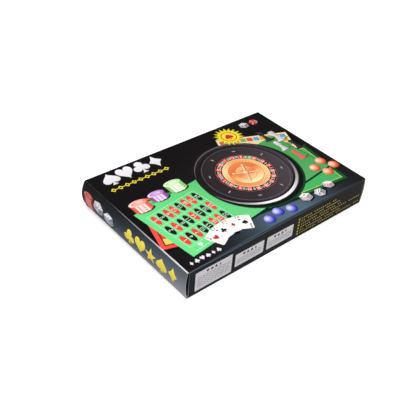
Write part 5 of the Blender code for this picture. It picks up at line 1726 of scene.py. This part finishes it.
@dataclass
class Wheel:
    """The bowl and cone turned finer than the CAD's, plated deflectors, and the printed number ring."""

    centre: Trio = (-50.5, 0.0, 8.1)
    steps: int = 120
    rim: Point = (104.6, 24.4)
    bead: float = 3.4
    side: Points = ((99.0, 0.0), (101.25, 5.56), (104.58, 14.46), (107.28, 21.68))
    track: Points = ((101.2, 23.34), (99.18, 21.5), (96.4, 20.95), (93.66, 20.95), (92.0, 21.5))
    well: Points = ((61.0, 14.2), (61.0, 5.8), (6.2, 5.8), (6.2, 7.0), (2.1, 7.0), (2.1, 3.8))
    under: Points = ((63.0, 3.8), (63.0, 12.67), (92.0, 19.5), (101.2, 19.5))
    inside: Points = ((102.58, 14.46), (99.25, 5.56), (97.0, 0.0))
    post: Points = ((0, 9.1), (1.5, 9.1), (1.5, 2.5), (3.6, 2.5), (3.6, 19.09), (0, 19.09))
    post_circle: float = 86.0
    deflector_circle: float = 76.5
    deflector_height: float = 17.85
    deflector: Trio = (6.0, 2.3, 1.4)
    deflector_root: float = 0.7
    apron_slope: float = atan2(7.3, 31.0)
    cone_foot: float = 10.0
    cone_reach: float = 42.9
    cone_skirt: float = 13.6
    cone_bore: float = 2.1
    slope: Points = ((38.61, 13.75), (34.32, 14.36), (29.0, 15.5), (23.6, 16.79), (18.2, 18.16))
    crown: Points = ((12.87, 19.53), (7.2, 21.2), (2.1, 21.2))
    ring_outer: Point = (60.2, 13.9)
    ring_inner: Point = (52.0, 12.9)
    ring_margin: float = 0.5
    figure: float = 4.3

    def bowl(self) -> None:
        """Makes the bowl with its screw posts and eight deflectors."""
        arc = [turned_point((self.bead, 0), self.rim, 15 * i) for i in range(13)]
        section = [*self.side, *arc, *self.track, *self.well, *self.under, *self.inside]
        points, faces = turned(section, self.steps)
        for i in range(3):
            more, cells = turned(self.post, 24, (*ray(self.post_circle, 120 * i), 0))
            faces += [[len(points) + k for k in cell] for cell in cells]
            points += more
        picks = [0] * len(faces)
        seat = Matrix.Translation((self.deflector_circle, 0, self.deflector_height))
        seat = seat @ Matrix.Rotation(-self.apron_slope, 4, "Y")
        for i in range(8):
            along, across = self.deflector[:2][:: 1 if i % 2 else -1]
            root, tip = -self.deflector_root, self.deflector[2]
            place = Matrix.Rotation(tau * (i + 0.5) / 8, 4, "Z") @ seat
            base = len(points)
            ring = ((along, 0, root), (0, across, root), (-along, 0, root), (0, -across, root), (0, 0, tip))
            points += [place @ Vector(p) for p in ring]
            faces += [[base + 3, base + 2, base + 1, base]]
            faces += [[base + k, base + (k + 1) % 4, base + 4] for k in range(4)]
            picks += [1] * 5
        placed = [(p + Vector(self.centre)) * MM for p in points]
        bowl = new_piece("turned_bowl", placed, faces, (BLACK_STYRENE, SILVER_PLATING), picks, smooth=True)
        mount(bowl, "carton", "black_plastic", "wheel_bowl")

    def cone(self) -> None:
        """Makes the rotor's gold cone."""
        foot = [(self.cone_bore, self.cone_foot), (self.cone_reach, self.cone_foot)]
        section = [*foot, (self.cone_reach, self.cone_skirt), *self.slope, *self.crown]
        points, faces = turned(section, self.steps, self.centre)
        cone = new_piece("turned_cone", [p * MM for p in points], faces, (GOLD_PLATING,), smooth=True)
        mount(cone, "rotor", "gold_plastic", "rotor_cone")

    def ring_point(self, *spot: float) -> Vector:
        """Lays the number ring's print on its slope, and its edges straight down to its foot.

        Args:
            spot: Place across and down the flat print, and share of the way down to the foot.

        Returns:
            The point.
        """
        u, v, w = spot
        (outer, outer_top), (inner, inner_top) = self.ring_outer, self.ring_inner
        top = inner_top + (outer_top - inner_top) * (hypot(u, v) - inner) / (outer - inner)
        return (Vector(self.centre) + Vector((u, -v, top - w * (top - self.cone_foot)))) * MM

    def number_ring(self) -> None:
        """Makes the number ring with its print on the sloping top."""
        outer, inner = self.ring_outer[0], self.ring_inner[0]
        art = Artwork(oval(outer, 4 * len(POCKETS)), "#d9b35c", 400.0)
        reach = (inner + self.ring_margin, outer - self.ring_margin)
        Layer(art, (0, 0)).pockets(*reach, self.figure, ("#2c8a45", "#1b1819", "#c42c28"))
        art.add(None, oval(inner, 4 * len(POCKETS)))
        finishes = (CARD_FACE, BLACK_STYRENE, BLACK_STYRENE)
        ring = PrintedSheet("printed_number_ring", art, self.ring_point, 1.0, *finishes)
        mount(ring.build(), "rotor", "ring_print", "number_ring")

    def build(self) -> None:
        """Makes the bowl, the cone and the number ring."""
        self.bowl()
        self.cone()
        self.number_ring()


@dataclass
class PaperGoods:
    """The deck of cards, the pads of play money and the rules sheet."""

    card_red: str = "#b3262b"
    paper: str = "#efe9d6"
    note_tones: tuple[str, str, str] = ("#3f7f58", "#b04a3a", "#3f6a94")

    def lay(self, name: str, node: str, finishes: Finishes, ink: str, draw: Draw) -> None:
        """Makes a level sheet or pad in its node's place, print up.

        Args:
            name: The piece's name.
            node: The CAD node that it stands for.
            finishes: Those of its face, back and edge.
            ink: Its ground ink.
            draw: Draws on it, given its print.
        """
        low, high = node_span(node)
        art = Artwork.page(high.x - low.x, high.y - low.y, ink)
        draw(art)
        place = flat_place((low.x, high.y, high.z), RIGHT, FRONT, DOWN)
        piece = PrintedSheet(name, art, place, high.z - low.z, *finishes, ink).build()
        mount(piece, "carton", "card_stock", node)

    def deck_print(self, art: Artwork) -> None:
        """Rounds the deck's corners and prints a lattice back.

        Args:
            art: The deck's print.
        """
        middle, wide, long = art.middle()
        art.outline = [(x + wide / 2, y + long / 2) for x, y in oblong(wide, long, 3.5)]
        middle.add(self.card_red, oblong(wide - 7, long - 7, 1.5))
        for i in range(10):
            for j in [j for j in range(15) if (i + j) % 2 == 0]:
                for tone, size in (("#ecd9d2", 3.4), (self.card_red, 1.7)):
                    middle.add(tone, oblong(size, size), at=((i - 4.5) * 5.2, (j - 7) * 5.2), turn=45)

    def note_print(self, tone: str, art: Artwork) -> None:
        """Prints a note with a rosette, a frame and four suits in one ink.

        Args:
            tone: The ink.
            art: The note's print.
        """
        middle, wide, long = art.middle()
        middle.add(tone, oblong(wide - 4, long - 4))
        middle.add(self.paper, oblong(wide - 5.4, long - 5.4))
        for i in range(3):
            middle.add(tone, star(14 - 4 * i, 11 - 3.4 * i, 24))
            middle.add(self.paper, star(13.2 - 4 * i, 10.2 - 3.4 * i, 24), turn=8)
        middle.corner_suits(8, wide / 2 - 9, long / 2 - 8.5, tone)

    def rules_print(self, art: Artwork) -> None:
        """Prints the rules as ruled blocks in two columns under four suits.

        Args:
            art: The sheet's print.
        """
        middle, _, long = art.middle()
        middle.row(Suit, (-18, 8 - long / 2), 12, 7, "#4a474a")
        for column in range(2):
            for row in range(17):
                reach = 36 - (row * 7 + column * 3) % 9 * (row % 4 == 3) * 2
                art.add("#8b888a", oblong(reach, 0.9), at=(6 + 42 * column + reach / 2, 16 + 2.9 * row))

    def build(self) -> None:
        """Makes all the paper goods."""
        cards, notes = (CARD_FACE, CARD_FACE, CARD_EDGES), (MATT_PRINT, MATT_PRINT, NOTE_EDGES)
        self.lay("card_deck", "playing_cards", cards, "#f4f1ec", self.deck_print)
        for i, tone in enumerate(self.note_tones):
            node = f"play_money_pad_{i + 1}"
            self.lay(node + "_notes", node, notes, self.paper, partial(self.note_print, tone))
        leaflet = (MATT_PRINT, MATT_PRINT, CUT_EDGE)
        self.lay("rules_leaflet", "rules_sheet", leaflet, "#f1efe9", self.rules_print)


@dataclass
class SmallPieces:
    """Chips, dice, balls, marbles and men, with the detail that their moulds give them."""

    chips: int = 7
    chip_steps: int = 72
    chip_sectors: int = 24
    chip_turn: float = 0.7
    mark_reach: float = 0.72
    die_bevel: float = 1.2
    pip_radius: float = 1.35
    pip_depth: float = 0.35
    ball_rings: int = 24
    ball_steps: int = 40
    man_steps: int = 36
    man_base: float = 5.6
    man_height: float = 26.0

    def chip_stack(self, node: str, colour: str) -> None:
        """Makes a stack of chips, each with eight pale edge marks and a ridged face.

        Args:
            node: The CAD node.
            colour: Name of the chips' plastic.
        """
        low, high = node_span(node)
        radius, thick = (high.x - low.x) / 2, (high.z - low.z) / self.chips
        edge = ((0.6, 0), (0.15, 0.15), (0, 0.45), (0, thick - 0.5), (0.15, thick - 0.2), (0.6, thick - 0.05))
        section = [(0, 0)] + [(radius - inset, height) for inset, height in edge]
        for share, dip in ((0.70, 0.05), (0.68, 0.25), (0.60, 0.25), (0.58, 0.05), (0.30, 0.05), (0, 0.05)):
            section.append((radius * share, thick - dip))
        ring, cells = turned(section, self.chip_steps)
        marks = []
        for cell in cells:
            middle = sum((ring[i] for i in cell), Vector()) / len(cell)
            sector = int((atan2(middle.y, middle.x) / tau % 1) * self.chip_sectors)
            marks.append(int(sector % 3 == 0 and hypot(middle.x, middle.y) > radius * self.mark_reach))
        points, faces = [], []
        for number in range(self.chips):
            turn = Matrix.Rotation(self.chip_turn * number, 3, "Z")
            foot = Vector(((low.x + high.x) / 2, (low.y + high.y) / 2, low.z + number * thick))
            faces += [[len(points) + i for i in cell] for cell in cells]
            points += [(turn @ point + foot) * MM for point in ring]
        finishes = (PLASTICS[colour], PLASTICS["white"])
        piece = new_piece(colour + "_chips", points, faces, finishes, marks * self.chips)
        mount(piece, "carton", colour + "_plastic", node)

    def die(self, node: str, turn: int) -> None:
        """Makes a die with drilled and painted pips.

        Args:
            node: The CAD node.
            turn: Quarter turns that bring another face up.
        """
        low, high = node_span(node)
        size, ball = high.x - low.x, self.pip_radius
        body, drill = bmesh.new(), bmesh.new()
        bmesh.ops.create_cube(body, size=size * MM)
        rounding = {"offset": self.die_bevel * MM, "segments": 4, "profile": 0.5, "affect": "EDGES"}
        bmesh.ops.bevel(body, geom=body.edges[:], **rounding)
        sides = {1: (0, 0), 6: (2, 0), 2: (1, 0), 5: (3, 0), 3: (0, 1), 4: (0, 3)}
        for count, (about_x, about_y) in sides.items():
            face = Matrix.Rotation(about_y * pi / 2, 4, "Y") @ Matrix.Rotation(about_x * pi / 2, 4, "X")
            for x, y in PIPS[count]:
                spot = Vector((x * size / 2, y * size / 2, size / 2 + ball - self.pip_depth)) * MM
                place = face @ Matrix.Translation(spot)
                bmesh.ops.create_icosphere(drill, subdivisions=2, radius=ball * MM, matrix=place)
        made = []
        forms = ((body, node + "_cube", PLASTICS["white"]), (drill, "pip_drill", BLACK_STYRENE))
        for form, name, finish in forms:
            made.append(new_piece(name, (), (), (finish,)))
            form.to_mesh(made[-1].data)
            form.free()
        piece, cutter = made
        cut = piece.modifiers.new("pips", "BOOLEAN")
        cut.operation, cut.solver, cut.object, cut.material_mode = "DIFFERENCE", "EXACT", cutter, "TRANSFER"
        drilled = bpy.data.meshes.new_from_object(piece.evaluated_get(bpy.context.evaluated_depsgraph_get()))
        piece.modifiers.clear()
        piece.data = drilled
        bpy.data.objects.remove(cutter)
        tumbled = Matrix.Rotation(turn * pi / 2, 4, "X") @ Matrix.Rotation(turn * pi, 4, "Z")
        piece.data.transform(Matrix.Translation((low + high) / 2 * MM) @ tumbled)
        mount(piece, "carton", "white_plastic", node)

    def ball(self, node: str, colour: str) -> None:
        """Makes a ball or marble, fine enough to shine evenly.

        Args:
            node: The CAD node.
            colour: Name of its plastic.
        """
        low, high = node_span(node)
        radius = (high.z - low.z) / 2 * MM
        angles = [pi * i / self.ball_rings for i in range(1, self.ball_rings)]
        section = [(0, -radius), *((radius * sin(a), -radius * cos(a)) for a in angles), (0, radius)]
        points, faces = turned(section, self.ball_steps, (low + high) / 2 * MM)
        piece = new_piece(node + "_ball", points, faces, (PLASTICS[colour],), smooth=True)
        mount(piece, "carton", colour + "_plastic", node)

    def man(self, node: str, colour: str, heading: int) -> None:
        """Makes a turned pawn lying in the tray.

        Args:
            node: The CAD node.
            colour: Name of its plastic.
            heading: 1 if its head points to the back and -1 if to the front.
        """
        low, high = node_span(node)
        centre = (low + high) / 2
        shares = [(0, 0), (0.94, 0), (1, 0.015), (1, 0.075), (0.94, 0.095), (0.72, 0.13), (0.66, 0.165)]
        shares += [(0.56, 0.20), (0.46, 0.30), (0.40, 0.42), (0.36, 0.55), (0.36, 0.60), (0.50, 0.615)]
        shares += [(0.64, 0.635), (0.66, 0.65), (0.60, 0.67), (0.44, 0.69), (0.52, 0.73)]
        for a in [radians(d) for d in (-30, -8, 14, 36, 58, 76)]:
            shares.append((0.62 * cos(a), 0.845 + 0.155 * sin(a)))
        section = [(self.man_base * out, self.man_height * up) for out, up in [*shares, (0, 1)]]
        points, faces = turned(section, self.man_steps)
        turn = Matrix.Rotation(-heading * pi / 2, 3, "X")
        foot = Vector((centre.x, centre.y - heading * self.man_height / 2, centre.z))
        placed = [(turn @ p + foot) * MM for p in points]
        piece = new_piece(node + "_man", placed, faces, (PLASTICS[colour],), smooth=True)
        mount(piece, "carton", colour + "_plastic", node)

    def build(self) -> None:
        """Makes all the small pieces."""
        for colour in ("green", "purple", "red"):
            self.chip_stack(colour + "_chip_stack", colour)
        for i in range(3):
            self.die(f"die_{i + 1}", i)
            self.ball(f"orange_marble_{i + 1}", "orange")
            self.ball(f"blue_marble_{i + 1}", "blue")
        for i in range(2):
            self.ball(f"roulette_ball_{i + 1}", "white")
        men = ("white_pawn_1", "white_pawn_2", "white_pawn_3", "black_pawn_1", "black_pawn_2", "red_pawn_1")
        for i, name in enumerate(men):
            self.man(name, name.split("_")[0], -1 if i % 2 else 1)


@dataclass
class Mouldings:
    """The tray, its round recess cut finer, and the nodes that keep their CAD shape."""

    recess_reach: Point = (110.0, 113.0)
    recess_side: float = 25.0
    cuts: int = 3
    slack: float = 0.02
    finishes: tuple[tuple[Finish, tuple[str, ...]], ...] = (
        (BLACK_STYRENE, ("wheel_base", "rotor_disc", "pocket_ring", "rake")),
        (GOLD_PLATING, ("turret",)),
        (FOAM_RUBBER, ("wheel_foot",)),
        (SCREW_STEEL, ("base_screw", "spindle_pin")),
        (WASHER_BRASS, ("thrust_washer",)),
    )

    def tray(self, node: Thing, centre: Sequence[float]) -> None:
        """Remakes the tray, with each level side of its round recess cut into shorter ones.

        Args:
            node: The CAD's tray.
            centre: Middle of the recess.
        """
        x, y = centre[:2]
        form = bmesh.new()
        form.from_mesh(node.data)
        form.transform(node.matrix_world)
        bmesh.ops.remove_doubles(form, verts=form.verts, dist=1e-6)
        bmesh.ops.dissolve_limit(form, angle_limit=radians(0.1), edges=form.edges)
        radii, sides = {}, []
        for edge in form.edges:
            ends = [(hypot(v.co.x / MM - x, v.co.y / MM - y), v.co.z / MM) for v in edge.verts]
            level = all(abs(a - b) < self.slack for a, b in zip(*ends))
            inside = self.recess_reach[0] < ends[0][0] < self.recess_reach[1]
            if level and inside and edge.calc_length() < self.recess_side * MM:
                radii[round(ends[0][1], 1)] = ends[0][0]
                sides.append(edge)
        made = bmesh.ops.subdivide_edges(form, edges=sides, cuts=self.cuts)["geom_inner"]
        for vert in [part for part in made if isinstance(part, bmesh.types.BMVert)]:
            away = Vector((vert.co.x / MM - x, vert.co.y / MM - y, 0))
            out = away.normalized() * radii[round(vert.co.z / MM, 1)]
            vert.co.x, vert.co.y = (x + out.x) * MM, (y + out.y) * MM
        bmesh.ops.triangulate(form, faces=form.faces)
        form.normal_update()
        for face in form.faces:
            face.smooth = True
        for edge in form.edges:
            edge.smooth = edge.calc_face_angle(0) < SHARP
        piece = new_piece("fine_tray", (), (), (TRAY_SHEET,))
        form.to_mesh(piece.data)
        form.free()
        mount(piece, "carton", "tray_plastic", "formed_tray")

    def dress(self, nodes: dict[str, Thing]) -> None:
        """Gives each node that still shows the finish of its kind.

        Args:
            nodes: The CAD nodes by name.
        """
        for name, node in nodes.items():
            for finish in [finish for finish, kinds in self.finishes if name.startswith(kinds)]:
                for slot in node.material_slots:
                    slot.material = finish.material()
                LOG.info("%s takes %s", name, finish.name)


def main() -> None:
    """Builds the scene in order and reports each piece."""
    logging.basicConfig(level=logging.INFO, format="%(name)s: %(message)s")
    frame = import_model()
    wheel, mouldings = Wheel(), Mouldings()
    for assembly in (Studio(), Carton(), TableSheets(), wheel, PaperGoods(), SmallPieces()):
        assembly.build()
    mouldings.tray(frame["nodes"]["formed_tray"], wheel.centre)
    mouldings.dress(frame["nodes"])


if __name__ == "__main__":
    main()
